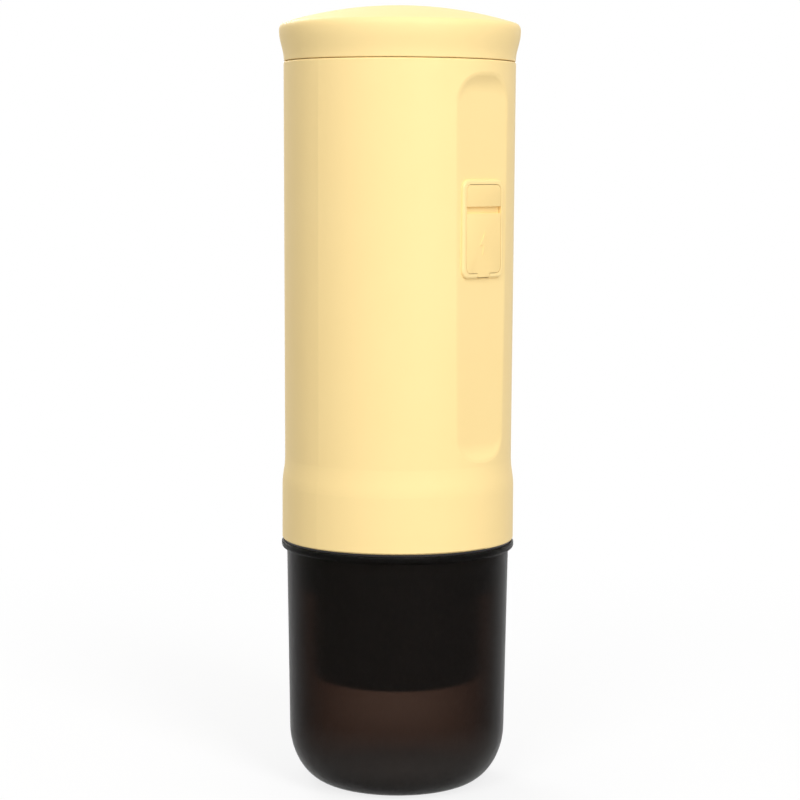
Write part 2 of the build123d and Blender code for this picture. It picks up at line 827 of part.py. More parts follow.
# Water tank with its threaded neck, legs and outlet
with BuildPart() as water_tank:
    tank_outside = tank_radius + tank_wall
    tank_flange_radius = bore_radius - tank_flange_inset
    tank_flange_bottom = tank_flange_top - tank_flange_height
    revolve(
        outline(
            (0, tank_bottom),
            (tank_outside, tank_bottom),
            (tank_outside, tank_flange_bottom - neck_wall),
            (neck_radius, tank_flange_bottom),
            (tank_flange_radius, tank_flange_bottom),
            (tank_flange_radius, tank_flange_top),
            (neck_radius, tank_flange_top),
            (neck_radius, neck_top),
            (tank_radius, neck_top),
            (tank_radius, tank_inside_bottom),
            (0, tank_inside_bottom),
        ),
        axis=Axis.Z,
    )
    with BuildSketch(Plane.XY.offset(tank_flange_bottom)):
        with Locations((0, panel_inside - fit_gap)):
            Rectangle(2 * tank_radius, tank_radius, align=(Align.CENTER, Align.MIN))
    extrude(amount=tank_flange_height, mode=Mode.SUBTRACT)
    with BuildSketch(Plane.XY.offset(upper_tray_top)):
        with Locations(*tank_leg_places):
            Circle(tank_leg_radius)
    extrude(amount=tank_leg_height)
    with BuildSketch(Plane.XY.offset(upper_tray_top)):
        with Locations(*tank_leg_places):
            Circle(screw_radius + shaft_gap)
    extrude(amount=screw_bite, mode=Mode.SUBTRACT)
    with BuildSketch(Plane.XY.offset(tank_bottom)):
        with Locations((inlet_x, inlet_y)):
            Circle(outlet_radius)
    extrude(amount=-outlet_length)
    with BuildSketch(Plane.XY.offset(tank_bottom - outlet_length)):
        with Locations((inlet_x, inlet_y)):
            Circle(outlet_bore)
    extrude(amount=outlet_length + tank_floor, mode=Mode.SUBTRACT)

with BuildPart() as tank_strainer:
    with BuildSketch(Plane.XY.offset(tank_inside_bottom)):
        with Locations((inlet_x, inlet_y)):
            Circle(strainer_radius)
    extrude(amount=strainer_height)
    fillet(circles(tank_strainer, strainer_radius).sort_by(Axis.Z)[-1], strainer_wall * 2)
    with BuildSketch(Plane.XY.offset(tank_inside_bottom)):
        with Locations((inlet_x, inlet_y)):
            Circle(strainer_radius - strainer_wall)
    extrude(amount=strainer_height - strainer_wall, mode=Mode.SUBTRACT)
    with BuildSketch(Plane.XY.offset(tank_inside_bottom + strainer_wall)):
        with Locations((inlet_x, inlet_y)):
            with PolarLocations(strainer_radius, strainer_slots):
                Rectangle(strainer_radius, strainer_slot_width)
            Circle(strainer_radius / 2, mode=Mode.SUBTRACT)
    extrude(amount=strainer_height - 3 * strainer_wall, mode=Mode.SUBTRACT)

# Heater under the tank floor
with BuildPart() as heater_plate:
    with BuildSketch(Plane.XY.offset(heater_bottom)):
        Circle(heater_radius)
    extrude(amount=heater_height)
    with BuildSketch(Plane.XZ):
        with Locations((element_circle, heater_bottom)):
            Circle(element_section + fit_gap)
    revolve(axis=Axis.Z, mode=Mode.SUBTRACT)

with BuildPart() as heater_element:
    with BuildSketch(Plane.XZ):
        with Locations((element_circle, heater_bottom)):
            Circle(element_section)
    revolve(axis=Axis.Z, revolution_arc=element_arc)

with BuildPart() as thermal_cutout:
    with BuildSketch(Plane.XY.offset(heater_bottom)):
        Circle(cutout_radius)
    extrude(amount=-cutout_height)
    with BuildSketch(Plane.XY.offset(heater_bottom - cutout_height)):
        with GridLocations(cutout_radius, 0, 2, 1):
            Rectangle(strainer_wall, cutout_leg_height)
    extrude(amount=-cutout_leg_height)

with BuildPart() as temperature_probe:
    with BuildSketch(Plane.XY.offset(heater_bottom)):
        with Locations((-probe_reach, 0)):
            Circle(probe_radius)
    extrude(amount=-probe_height)
    fillet(circles(temperature_probe, probe_radius).sort_by(Axis.Z)[0], probe_radius / 2)

# Control board, what is soldered on it and the charging receptacle
with BuildPart() as control_board:
    with BuildSketch(Plane.XY.offset(lower_tray_top)):
        with Locations((0, board_slot_y)):
            Rectangle(board_width, board_thickness)
    extrude(amount=tank_bottom - board_top_gap - lower_tray_top)

board_plane = Plane(origin=(0, board_face, lower_tray_top), x_dir=(-1, 0, 0), z_dir=(0, 1, 0))
with BuildPart() as board_components:
    with BuildSketch(board_plane):
        with Locations(*[(0, rise) for rise in coil_rises]):
            Rectangle(coil_size, coil_size)
    extrude(amount=coil_height)
    with BuildSketch(board_plane):
        with Locations(*chip_places):
            Rectangle(chip_size, chip_size)
        with Locations(*resistor_places):
            Rectangle(resistor_length, resistor_width)
    extrude(amount=chip_height)
    with BuildSketch(board_plane):
        with Locations((0, capacitor_rise)):
            Circle(capacitor_radius)
    extrude(amount=capacitor_height)

usb_plane = Plane(origin=(0, board_face, usb_center), x_dir=(-1, 0, 0), z_dir=(0, 1, 0))
with BuildPart() as usb_shell:
    with BuildSketch(usb_plane):
        SlotOverall(usb_width, usb_height, rotation=90)
        SlotOverall(usb_width - 2 * usb_sheet, usb_height - 2 * usb_sheet, rotation=90, mode=Mode.SUBTRACT)
    extrude(amount=usb_depth)

with BuildPart() as usb_tongue:
    usb_inner_width = usb_width - 2 * usb_sheet - fit_gap
    usb_inner_height = usb_height - 2 * usb_sheet - fit_gap
    with BuildSketch(usb_plane):
        SlotOverall(usb_inner_width, usb_inner_height, rotation=90)
    extrude(amount=tongue_base)
    with BuildSketch(usb_plane):
        Rectangle(tongue_height, tongue_width)
    extrude(amount=usb_depth - tongue_inset)

# Sleeve with the back panel, the port frame, the button hole and the button's bosses
panel_center = body_bottom + panel_rise + panel_height / 2
with BuildPart() as panel_hollow:
    with BuildSketch(back):
        with Locations((0, panel_center)):
            RectangleRounded(panel_width, panel_height + 2 * panel_overrun, panel_corner)
    extrude(amount=2 * panel_cove)
    fillet(panel_hollow.faces().sort_by(Axis.Y)[0].edges(), panel_cove)

with BuildPart() as body_shell:
    flare_bottom = body_bottom + collar_height
    flare_top = flare_bottom + flare_height
    with BuildSketch(Plane.XZ):
        with BuildLine():
            Polyline(
                (bore_radius, body_bottom), (collar_radius, body_bottom), (collar_radius, flare_bottom)
            )
            Spline((collar_radius, flare_bottom), (body_radius, flare_top), tangents=((0, 1), (0, 1)))
            Polyline(
                (body_radius, flare_top),
                (shoulder_radius, body_top),
                (seat_radius, body_top),
                (seat_radius, seat_top),
                (neck_radius + fit_gap, seat_top),
                (neck_radius + fit_gap, tank_flange_top),
                (bore_radius, tank_flange_top),
                (bore_radius, body_bottom),
            )
        make_face()
    revolve(axis=Axis.Z)
    fillet(circles(body_shell, collar_radius).sort_by(Axis.Z)[0], sleeve_edge)
    fillet(circles(body_shell, shoulder_radius), sleeve_edge)
    with BuildSketch(Plane.XY.offset(panel_center - panel_height / 2)):
        Circle(bore_radius + fit_gap)
        with Locations((0, panel_inside)):
            Rectangle(2 * bore_radius, 2 * bore_radius, align=(Align.CENTER, Align.MAX), mode=Mode.SUBTRACT)
    extrude(amount=tank_flange_top - panel_center + panel_height / 2)
    add(panel_hollow.part, mode=Mode.SUBTRACT)
    panel_rim = body_shell.edges(Select.LAST).filter_by(GeomType.BSPLINE)
    fillet(panel_rim.sort_by(Axis.X).sort_by(Axis.Z), panel_edge)
    with BuildSketch(back):
        with Locations((0, port_center)):
            RectangleRounded(frame_width, frame_height, frame_corner)
    extrude(amount=frame_rise)
    fillet(body_shell.faces().filter_by(Axis.Y).sort_by(Axis.Y)[-1].edges(), frame_edge)
    with BuildSketch(back.offset(-pocket_depth)):
        with Locations((0, port_center)):
            RectangleRounded(pocket_width, pocket_height, pocket_corner)
        with Locations((0, port_center - pocket_height / 2)):
            Rectangle(tab_width + 2 * cover_gap, 2 * frame_wall - 2 * cover_gap)
    extrude(amount=pocket_depth + 2 * frame_rise, mode=Mode.SUBTRACT)
    with BuildSketch(back):
        with Locations((0, usb_center)):
            SlotOverall(usb_width + 2 * snug_gap, usb_height + 2 * snug_gap, rotation=90)
        with Locations((0, (anchor_bottom + cover_top) / 2)):
            with GridLocations(peg_spread, 0, 2, 1):
                Circle(peg_radius + fit_gap)
    extrude(amount=-panel_wall, mode=Mode.SUBTRACT)
    with BuildSketch(front.offset(bore_radius / 2)):
        Circle(button_radius + running_gap + light_width + fit_gap)
    extrude(amount=bore_radius, mode=Mode.SUBTRACT)
    with BuildSketch(front.offset(button_board_face)):
        with GridLocations(0, button_boss_spread, 1, 2):
            Circle(button_boss_radius)
    extrude(amount=button_boss_length + body_wall / 2)
    with BuildSketch(front.offset(button_board_face)):
        with GridLocations(0, button_boss_spread, 1, 2):
            Circle(board_screw_radius + shaft_gap)
    extrude(amount=board_screw_bite, mode=Mode.SUBTRACT)

# Port cover: a fixed anchor with its hinge web, and the flap with its plug and pull tab
with BuildPart() as port_cover_anchor:
    with BuildSketch(back.offset(-pocket_depth)):
        with Locations((0, cover_top)):
            RectangleRounded(
                cover_width, 2 * anchor_height, cover_corner, align=(Align.CENTER, Align.MAX)
            )
        with Locations((0, anchor_bottom)):
            Rectangle(cover_width, 2 * anchor_height, align=(Align.CENTER, Align.MAX), mode=Mode.SUBTRACT)
    extrude(amount=pocket_depth + frame_rise)
    fillet(port_cover_anchor.faces().filter_by(Axis.Y).sort_by(Axis.Y)[-1].edges(), cover_edge)
    with BuildSketch(back.offset(frame_rise - hinge_depth - web_thickness / 2)):
        with Locations((0, anchor_bottom)):
            Rectangle(cover_width, groove_height - snug_gap, align=(Align.CENTER, Align.MAX))
    extrude(amount=web_thickness)
    with BuildSketch(back.offset(-pocket_depth)):
        with Locations((0, (anchor_bottom + cover_top) / 2)):
            with GridLocations(peg_spread, 0, 2, 1):
                Circle(peg_radius)
    extrude(amount=pocket_depth - panel_wall - fit_gap)
    with BuildSketch(back.offset(-panel_wall - fit_gap)):
        with Locations((0, (anchor_bottom + cover_top) / 2)):
            with GridLocations(peg_spread, 0, 2, 1):
                Circle(peg_radius + peg_head)
    extrude(amount=-peg_head_height)

with BuildPart() as port_cover:
    flap_floor = fit_gap - pocket_depth
    with BuildSketch(back.offset(flap_floor)):
        with Locations((0, cover_bottom)):
            RectangleRounded(
                cover_width, 2 * flap_height, cover_corner, align=(Align.CENTER, Align.MIN)
            )
        with Locations((0, flap_top)):
            Rectangle(cover_width, 2 * flap_height, align=(Align.CENTER, Align.MIN), mode=Mode.SUBTRACT)
        with Locations((0, cover_bottom)):
            Rectangle(tab_width, 2 * tab_length)
    extrude(amount=frame_rise - flap_floor)
    fillet(port_cover.faces().filter_by(Axis.Y).sort_by(Axis.Y)[-1].edges(), cover_edge)
    with BuildSketch(back.offset(flap_floor)):
        with Locations((0, usb_center)):
            SlotOverall(nub_length, nub_width, rotation=90)
    extrude(amount=-nub_depth - fit_gap)

# Power button, light ring, button board and its switch
light_bore = button_radius + running_gap
light_radius = light_bore + light_width
flange_rear = button_board_face + switch_height + button_travel + button_stem
flange_front = flange_rear + button_flange_height
with BuildPart() as power_button:
    with BuildSketch(front.offset(flange_rear)):
        Circle(button_radius)
    extrude(amount=shoulder_radius + button_proud - flange_rear)
    with BuildSketch(Plane.XY.offset(button_height - button_radius)):
        Circle(sleeve_radius(button_height) + button_proud)
    extrude(amount=2 * button_radius, mode=Mode.INTERSECT)
    with BuildSketch(front.offset(flange_rear)):
        Circle(button_radius + button_flange)
    extrude(amount=button_flange_height)

with BuildPart() as light_ring:
    light_rear_bore = button_radius + button_flange + running_gap
    step = flange_front + fit_gap
    with BuildSketch(front.offset(button_board_face)):
        Circle(light_radius)
        Circle(light_bore, mode=Mode.SUBTRACT)
    extrude(amount=shoulder_radius + light_proud - button_board_face)
    with BuildSketch(Plane.XY.offset(button_height - light_radius)):
        Circle(sleeve_radius(button_height) + light_proud)
    extrude(amount=2 * light_radius, mode=Mode.INTERSECT)
    with BuildSketch(front.offset(button_board_face)):
        Circle(light_rear_bore)
    extrude(amount=step - button_board_face, mode=Mode.SUBTRACT)
    flange_place = sqrt(bore_radius**2 - (light_radius + light_flange) ** 2) - fit_gap
    with BuildSketch(front.offset(flange_place)):
        Circle(light_radius + light_flange)
        Circle(light_rear_bore, mode=Mode.SUBTRACT)
    extrude(amount=-light_flange_height)

with BuildPart() as button_board:
    with BuildSketch(front.offset(button_board_face)):
        RectangleRounded(button_board_width, button_board_height, button_boss_radius)
        with GridLocations(0, button_boss_spread, 1, 2):
            Circle(board_screw_radius + fit_gap, mode=Mode.SUBTRACT)
    extrude(amount=-button_board_thickness)

with BuildPart() as button_switch:
    with BuildSketch(front.offset(button_board_face)):
        Rectangle(switch_size, switch_size)
    extrude(amount=switch_height)
    with BuildSketch(front.offset(button_board_face + switch_height)):
        Circle(plunger_radius)
    extrude(amount=button_stem - fit_gap)

# Lid: domed shell, threaded liner, seal and vent valve
with BuildPart() as lid_shell:
    dome_sphere = (lid_dome_radius**2 + lid_dome_rise**2) / (2 * lid_dome_rise)
    dome_center = lid_top - dome_sphere
    dome_slope = (-(lid_dome_foot - dome_center), lid_dome_radius)
    roof_sphere = dome_sphere - lid_roof
    roof_foot = dome_center + sqrt(roof_sphere**2 - lid_bore_radius**2)
    with BuildSketch(Plane.XZ):
        with BuildLine():
            Spline(
                (lid_skirt_radius, lid_bottom), (lid_rim_radius, lid_widest), tangents=((0, 1), (0, 1))
            )
            Spline(
                (lid_rim_radius, lid_widest),
                (lid_dome_radius, lid_dome_foot),
                tangents=((0, 1), dome_slope),
            )
            RadiusArc((lid_dome_radius, lid_dome_foot), (0, lid_top), -dome_sphere)
            Line((0, lid_top), (0, lid_top - lid_roof))
            RadiusArc((0, lid_top - lid_roof), (lid_bore_radius, roof_foot), roof_sphere)
            Polyline(
                (lid_bore_radius, roof_foot), (lid_bore_radius, lid_bottom), (lid_skirt_radius, lid_bottom)
            )
        make_face()
    revolve(axis=Axis.Z)
    fillet(circles(lid_shell, lid_skirt_radius), lid_edge)

with BuildPart() as lid_liner:
    revolve(
        outline(
            (vent_radius + fit_gap, liner_roof_bottom),
            (liner_bore, liner_roof_bottom),
            (liner_bore, lid_bottom + liner_recess),
            (liner_radius, lid_bottom + liner_recess),
            (liner_radius, liner_top),
            (vent_radius + fit_gap, liner_top),
        ),
        axis=Axis.Z,
    )

with BuildPart() as lid_seal:
    revolve(
        tube_section(neck_top, liner_roof_bottom, tank_radius, liner_bore - running_gap), axis=Axis.Z
    )

with BuildPart() as lid_vent_valve:
    bill_radius = vent_radius + vent_flange / 2
    revolve(
        outline(
            (0, liner_roof_bottom - vent_bill),
            (vent_flange / 2, liner_roof_bottom - vent_bill),
            (bill_radius, liner_roof_bottom),
            (vent_radius, liner_roof_bottom),
            (vent_radius, liner_top),
            (vent_radius + vent_flange, liner_top),
            (vent_radius + vent_flange, liner_top + vent_flange / 2),
            (0, liner_top + vent_flange / 2),
        ),
        axis=Axis.Z,
    )

# Screws, one group for each set
with BuildPart() as base_screws:
    with BuildSketch(Plane.XY.offset(body_bottom)):
        with PolarLocations(base_screw_circle, screw_count, start_angle=45):
            Circle(screw_head_radius)
    extrude(amount=screw_head_height)
    with BuildSketch(Plane.XY.offset(body_bottom)):
        with PolarLocations(base_screw_circle, screw_count, start_angle=45):
            Circle(screw_radius)
    extrude(amount=group_flange_top + screw_bite - body_bottom)

with BuildPart() as tray_screws:
    with BuildSketch(Plane.XY.offset(upper_tray_top)):
        with Locations(*column_places):
            Circle(screw_head_radius)
    extrude(amount=screw_head_height)
    with BuildSketch(Plane.XY.offset(upper_tray_top)):
        with Locations(*column_places):
            Circle(screw_radius)
    extrude(amount=running_gap - tray_thickness - screw_bite)

with BuildPart() as tank_screws:
    with BuildSketch(Plane.XY.offset(upper_tray_bottom)):
        with Locations(*tank_leg_places):
            Circle(screw_head_radius)
    extrude(amount=screw_head_height)
    with BuildSketch(Plane.XY.offset(upper_tray_bottom)):
        with Locations(*tank_leg_places):
            Circle(screw_radius)
    extrude(amount=tray_thickness + screw_bite - running_gap)

with BuildPart() as button_screws:
    board_rear = button_board_face - button_board_thickness
    with BuildSketch(front.offset(board_rear)):
        with GridLocations(0, button_boss_spread, 1, 2):
            Circle(board_screw_head_radius)
    extrude(amount=-board_screw_head_height)
    with BuildSketch(front.offset(board_rear)):
        with GridLocations(0, button_boss_spread, 1, 2):
            Circle(board_screw_radius)
    extrude(amount=button_board_thickness + board_screw_bite - running_gap)

# One file for each piece
pieces = {
    "cup": cup,
    "cup_seal": cup_seal,
    "base_ring": base_ring,
    "base_screws": base_screws,
    "group_block": group_block,
    "group_gasket": group_gasket,
    "shower_screen": shower_screen,
    "shower_screw": shower_screw,
    "filter_basket": filter_basket,
    "filter_disc": filter_disc,
    "brew_head": brew_head,
    "lower_tray": lower_tray,
    "upper_tray": upper_tray,
    "tray_screws": tray_screws,
    "tank_screws": tank_screws,
    "battery_cell_left": cells[0],
    "battery_cell_right": cells[1],
    "battery_cell_back": cells[2],
    "cell_links": cell_links,
    "pump_body": pump_body,
    "pump_bracket": pump_bracket,
    "motor": motor,
    "motor_shaft": motor_shaft,
    "shaft_coupling": shaft_coupling,
    "suction_hose": suction_hose,
    "pressure_hose": pressure_hose,
    "water_tank": water_tank,
    "tank_strainer": tank_strainer,
    "heater_plate": heater_plate,
    "heater_element": heater_element,
    "thermal_cutout": thermal_cutout,
    "temperature_probe": temperature_probe,
    "control_board": control_board,
    "board_components": board_components,
    "usb_shell": usb_shell,
    "usb_tongue": usb_tongue,
    "body_shell": body_shell,
    "port_cover_anchor": port_cover_anchor,
    "port_cover": port_cover,
    "power_button": power_button,
    "light_ring": light_ring,
    "button_board": button_board,
    "button_switch": button_switch,
    "button_screws": button_screws,
    "lid_shell": lid_shell,
    "lid_liner": lid_liner,
    "lid_seal": lid_seal,
    "lid_vent_valve": lid_vent_valve,
}
for node, piece in pieces.items():
    piece.part.label = node
    export_step(piece.part, f"parts/{node}.step")
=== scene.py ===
"""Looks of a portable battery espresso maker that stands on its own cup.

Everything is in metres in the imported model's frame: the origin is the middle of the cup's foot, +Z is up,
+Y looks out of the back panel and -Y out of the power button.
"""

import json
import logging
import math
from abc import ABC, abstractmethod
from collections.abc import Callable, Iterator
from contextlib import contextmanager
from dataclasses import dataclass
from enum import Enum

import bmesh
import bpy
from mathutils import Matrix, Vector


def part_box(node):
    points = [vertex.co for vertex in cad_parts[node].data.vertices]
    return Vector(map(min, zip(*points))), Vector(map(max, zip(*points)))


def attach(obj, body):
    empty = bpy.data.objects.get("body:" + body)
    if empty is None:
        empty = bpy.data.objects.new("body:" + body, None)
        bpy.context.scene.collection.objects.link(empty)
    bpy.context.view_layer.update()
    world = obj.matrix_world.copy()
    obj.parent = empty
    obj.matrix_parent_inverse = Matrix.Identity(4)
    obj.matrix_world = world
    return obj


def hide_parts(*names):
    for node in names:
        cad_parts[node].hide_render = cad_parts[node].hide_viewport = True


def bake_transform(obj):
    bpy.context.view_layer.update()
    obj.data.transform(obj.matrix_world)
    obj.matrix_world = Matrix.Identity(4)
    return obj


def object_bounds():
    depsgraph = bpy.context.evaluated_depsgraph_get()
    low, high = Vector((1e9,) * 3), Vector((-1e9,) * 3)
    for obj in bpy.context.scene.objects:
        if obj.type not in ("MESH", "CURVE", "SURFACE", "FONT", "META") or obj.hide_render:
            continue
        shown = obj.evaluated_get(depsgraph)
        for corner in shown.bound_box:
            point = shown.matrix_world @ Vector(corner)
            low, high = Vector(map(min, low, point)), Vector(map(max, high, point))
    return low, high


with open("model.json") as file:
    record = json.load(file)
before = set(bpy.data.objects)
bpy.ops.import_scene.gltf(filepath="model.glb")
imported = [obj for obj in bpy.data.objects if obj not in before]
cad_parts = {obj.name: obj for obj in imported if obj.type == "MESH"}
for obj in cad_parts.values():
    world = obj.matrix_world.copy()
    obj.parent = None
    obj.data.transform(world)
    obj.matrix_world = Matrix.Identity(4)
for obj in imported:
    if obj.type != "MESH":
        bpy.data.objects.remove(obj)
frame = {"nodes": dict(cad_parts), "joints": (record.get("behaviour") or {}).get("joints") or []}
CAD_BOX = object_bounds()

MM = 0.001
SMOOTH_ANGLE = math.radians(35)
MERGE_GAP = MM / 1000
WHITE = "#FFFFFF"
# From this share on, a direction lies along an axis and a place at an end
MOSTLY = 0.9
# Below this share, a direction lies across an axis
HARDLY = 0.1
# Short names for Blender's types
Piece = bpy.types.Object
Tree = bpy.types.NodeTree
Node = bpy.types.Node
Socket = bpy.types.NodeSocket
log = logging.getLogger("espresso_maker")


class Body(Enum):
    """The bodies that pieces ride on."""

    MACHINE = "machine"
    LID = "lid"
    BREW_HEAD = "brew_head"
    BUTTON = "button"
    FLAP = "port_flap"


class Slot(Enum):
    """The record's material slots."""

    SLEEVE = "pale_yellow_plastic"
    COVER = "pale_yellow_silicone"
    CUP = "smoky_plastic"
    BLACK = "black_plastic"
    GREY = "grey_plastic"
    RUBBER = "black_rubber"
    HOSE = "clear_silicone"
    STAINLESS = "stainless_steel"
    ZINC = "zinc_plated_steel"
    CELL = "cell_wrap"
    MOTOR = "motor_can"
    ALUMINIUM = "aluminium"
    BOARD = "circuit_board"
    COMPONENT = "component_plastic"
    PORT = "port_steel"
    LIGHT = "light_diffuser"


class Join(Enum):
    """How two meshes become one."""

    UNION = "UNION"
    DIFFERENCE = "DIFFERENCE"


# Nodes and colours


def linear(code: str) -> tuple[float, float, float, float]:
    """Turn an sRGB hex colour into linear RGBA.

    Args:
        code: a colour such as "#FCE29E".

    Returns:
        The colour's four linear values.
    """
    shares = [int(code[at : at + 2], 16) / 255 for at in (1, 3, 5)]
    red, green, blue = (s / 12.92 if s <= 0.04045 else ((s + 0.055) / 1.055) ** 2.4 for s in shares)
    return red, green, blue, 1.0


def add_node(
    tree: Tree, kind: str, inputs: dict[str | int, object] | None = None, **settings: object
) -> Node:
    """Add one node with its settings, values and links.

    Args:
        tree: the material's or the world's nodes.
        kind: the node's Blender type, without its ShaderNode prefix.
        inputs: a value, or another node's output, for each input by name or number.
        settings: the node's own properties.

    Returns:
        The new node.
    """
    node = tree.nodes.new("ShaderNode" + kind)
    for name, value in settings.items():
        setattr(node, name, value)
    for name, value in (inputs or {}).items():
        if isinstance(value, Socket):
            tree.links.new(value, node.inputs[name])
        else:
            node.inputs[name].default_value = value
    return node


# Finishes

TONE_DETAIL = 2.0
GRAIN_DETAIL = 1.0


@dataclass(frozen=True)
class Finish:
    """A real material and how its surface was made.

    The colour drifts slowly towards a second tone, and a fine grain breaks up the gloss and stands up.
    """

    name: str
    colour: str
    tone: str
    roughness: float
    ior: float = 1.5
    metallic: float = 0.0
    gloss: float = 0.5
    tone_mm: float = 24.0
    grain_mm: float = 0.5
    grain_depth_mm: float = 0.01
    gloss_drift: float = 0.05
    stretch: tuple[float, float, float] = (1.0, 1.0, 1.0)

    def material(self) -> bpy.types.Material:
        """Make the material at its first use.

        Returns:
            The finish's material.
        """
        made = bpy.data.materials.get(self.name)
        if made:
            return made
        made = bpy.data.materials.new(self.name)
        made.use_nodes = True
        tree = made.node_tree
        tree.nodes.clear()
        values = {"Metallic": self.metallic, "Specular IOR Level": self.gloss}
        if not self.metallic:
            values["IOR"] = self.ior
        shader = add_node(tree, "BsdfPrincipled", values)
        output = add_node(tree, "OutputMaterial", {"Surface": shader.outputs[0]})
        place = add_node(tree, "TexCoord").outputs["Object"]
        tree.links.new(self.colouring(tree, place), shader.inputs["Base Color"])
        self.texture(tree, place, shader)
        self.special(tree, shader, output)
        return made

    def colouring(self, tree: Tree, place: Socket) -> Socket:
        """Mix the colour at each place.

        Args:
            tree: the material's nodes.
            place: object coordinates, in metres.

        Returns:
            The output that gives the colour.
        """
        waves = {"Vector": place, "Scale": 1 / (self.tone_mm * MM), "Detail": TONE_DETAIL}
        drift = add_node(tree, "TexNoise", waves)
        tones = {"Factor": drift.outputs[0], "A": linear(self.colour), "B": linear(self.tone)}
        return add_node(tree, "Mix", tones, data_type="RGBA").outputs["Result"]

    def texture(self, tree: Tree, place: Socket, shader: Node) -> None:
        """Give the shader its uneven gloss and its fine grain.

        Args:
            tree: the material's nodes.
            place: object coordinates, in metres.
            shader: the principled shader.
        """
        mapped = add_node(tree, "Mapping", {"Vector": place, "Scale": self.stretch}).outputs[0]
        specks = {"Vector": mapped, "Scale": 1 / (self.grain_mm * MM), "Detail": GRAIN_DETAIL}
        grain = add_node(tree, "TexNoise", specks)
        sheen = {
            "Value": grain.outputs[0],
            "To Min": self.roughness - self.gloss_drift,
            "To Max": self.roughness + self.gloss_drift,
        }
        gloss = add_node(tree, "MapRange", sheen)
        relief = {"Height": grain.outputs[0], "Strength": 1.0, "Distance": self.grain_depth_mm * MM}
        bump = add_node(tree, "Bump", relief)
        tree.links.new(gloss.outputs[0], shader.inputs["Roughness"])
        tree.links.new(bump.outputs[0], shader.inputs["Normal"])

    def special(self, tree: Tree, shader: Node, output: Node) -> None:
        """Add what only this kind of material has; most have nothing more.

        Args:
            tree: the material's nodes.
            shader: the principled shader.
            output: the material's output.
        """


@dataclass(frozen=True)
class ClearFinish(Finish):
    """A plastic that light passes through and that takes up some of it on the way."""

    transmission: float = 1.0
    absorbed: str = WHITE
    absorption: float = 0.0
    # The share of the foot's surface that is a painted reflection of the white table, as matt surface, whole
    # up to the first height and none from the second
    painted_table_reflection: float = 0.0
    painted_table_reflection_full_mm: float = 0.0
    painted_table_reflection_end_mm: float = 0.0

    def special(self, tree: Tree, shader: Node, output: Node) -> None:
        """Let light through, and tint it by the length of its way through the wall.

        Args:
            tree: the material's nodes.
            shader: the principled shader.
            output: the material's output.
        """
        shader.inputs["Transmission Weight"].default_value = self.transmission
        # The foot gets a painted reflection of the white table: a matt share that makes it lighter towards
        # the bottom
        if self.painted_table_reflection:
            self.paint_table_reflection(tree, shader)
        if self.absorption:
            values = {"Color": linear(self.absorbed), "Density": self.absorption}
            wall = add_node(tree, "VolumeAbsorption", values)
            tree.links.new(wall.outputs[0], output.inputs["Volume"])

    def paint_table_reflection(self, tree: Tree, shader: Node) -> None:
        """Paint a reflection of the white table into the lowest part, as a matt share of its surface.

        Args:
            tree: the material's nodes.
            shader: the principled shader.
        """
        place = add_node(tree, "TexCoord").outputs["Object"]
        clearing = {
            "Value": add_node(tree, "SeparateXYZ", {0: place}).outputs["Z"],
            "From Min": self.painted_table_reflection_full_mm * MM,
            "From Max": self.painted_table_reflection_end_mm * MM,
            "To Min": self.transmission - self.painted_table_reflection,
            "To Max": self.transmission,
        }
        clear = add_node(tree, "MapRange", clearing)
        tree.links.new(clear.outputs[0], shader.inputs["Transmission Weight"])


@dataclass(frozen=True)
class OpalFinish(Finish):
    """A milky plastic that spreads light under its surface."""

    depth_mm: float = 1.0
    milk: float = 0.6

    def special(self, tree: Tree, shader: Node, output: Node) -> None:
        """Spread light under the surface."""
        shader.inputs["Subsurface Weight"].default_value = self.milk
        shader.inputs["Subsurface Scale"].default_value = self.depth_mm * MM


@dataclass(frozen=True)
class CoatedFinish(Finish):
    """A material under a thin clear skin."""

    coat: float = 0.5
    coat_share: float = 0.5

    def special(self, tree: Tree, shader: Node, output: Node) -> None:
        """Lay the clear skin over the surface."""
        shader.inputs["Coat Weight"].default_value = self.coat
        shader.inputs["Coat Roughness"].default_value = self.roughness * self.coat_share


@dataclass(frozen=True)
class BoardFinish(CoatedFinish):
    """Green solder mask over copper tracks, with a gilt pad in the middle of each cell between them."""

    track: str = "#1B7A45"
    pad: str = "#C9A24A"
    pitch_mm: float = 2.54
    scatter: float = 0.35
    # Where the tracks start and the pad ends, from a cell's middle and as shares of the pitch
    track_from: float = 0.42
    pad_to: float = 0.14

    def colouring(self, tree: Tree, place: Socket) -> Socket:
        """Lay the tracks and the pads over the mask's colour.

        Args:
            tree: the material's nodes.
            place: object coordinates, in metres.

        Returns:
            The output that gives the colour.
        """
        colour = super().colouring(tree, place)
        pattern = {"Vector": place, "Scale": 1 / (self.pitch_mm * MM), "Randomness": self.scatter}
        cells = add_node(tree, "TexVoronoi", pattern, distance="CHEBYCHEV")
        layers = (("GREATER_THAN", self.track_from, self.track), ("LESS_THAN", self.pad_to, self.pad))
        for side, limit, paint in layers:
            area = add_node(tree, "Math", {0: cells.outputs["Distance"], 1: limit}, operation=side)
            mixed = {"Factor": area.outputs[0], "A": colour, "B": linear(paint)}
            colour = add_node(tree, "Mix", mixed, data_type="RGBA").outputs["Result"]
        return colour


# Spark-eroded mould walls leave a satin grain, drawn at 0.6 mm because the real 0.1 mm is too fine to show
SLEEVE_ABS = Finish(
    "abs_moulded_pale_yellow", "#FFE3A2", "#FEE09D", 0.46, ior=1.53, gloss=0.16, grain_mm=0.6
)
# Soft moulded silicone looks matt and a little deeper in colour than the hard plastic beside it
COVER_SILICONE = Finish(
    "silicone_moulded_pale_yellow", "#FEE19F", "#FDDD98", 0.58, ior=1.41, gloss=0.2, grain_mm=0.4
)
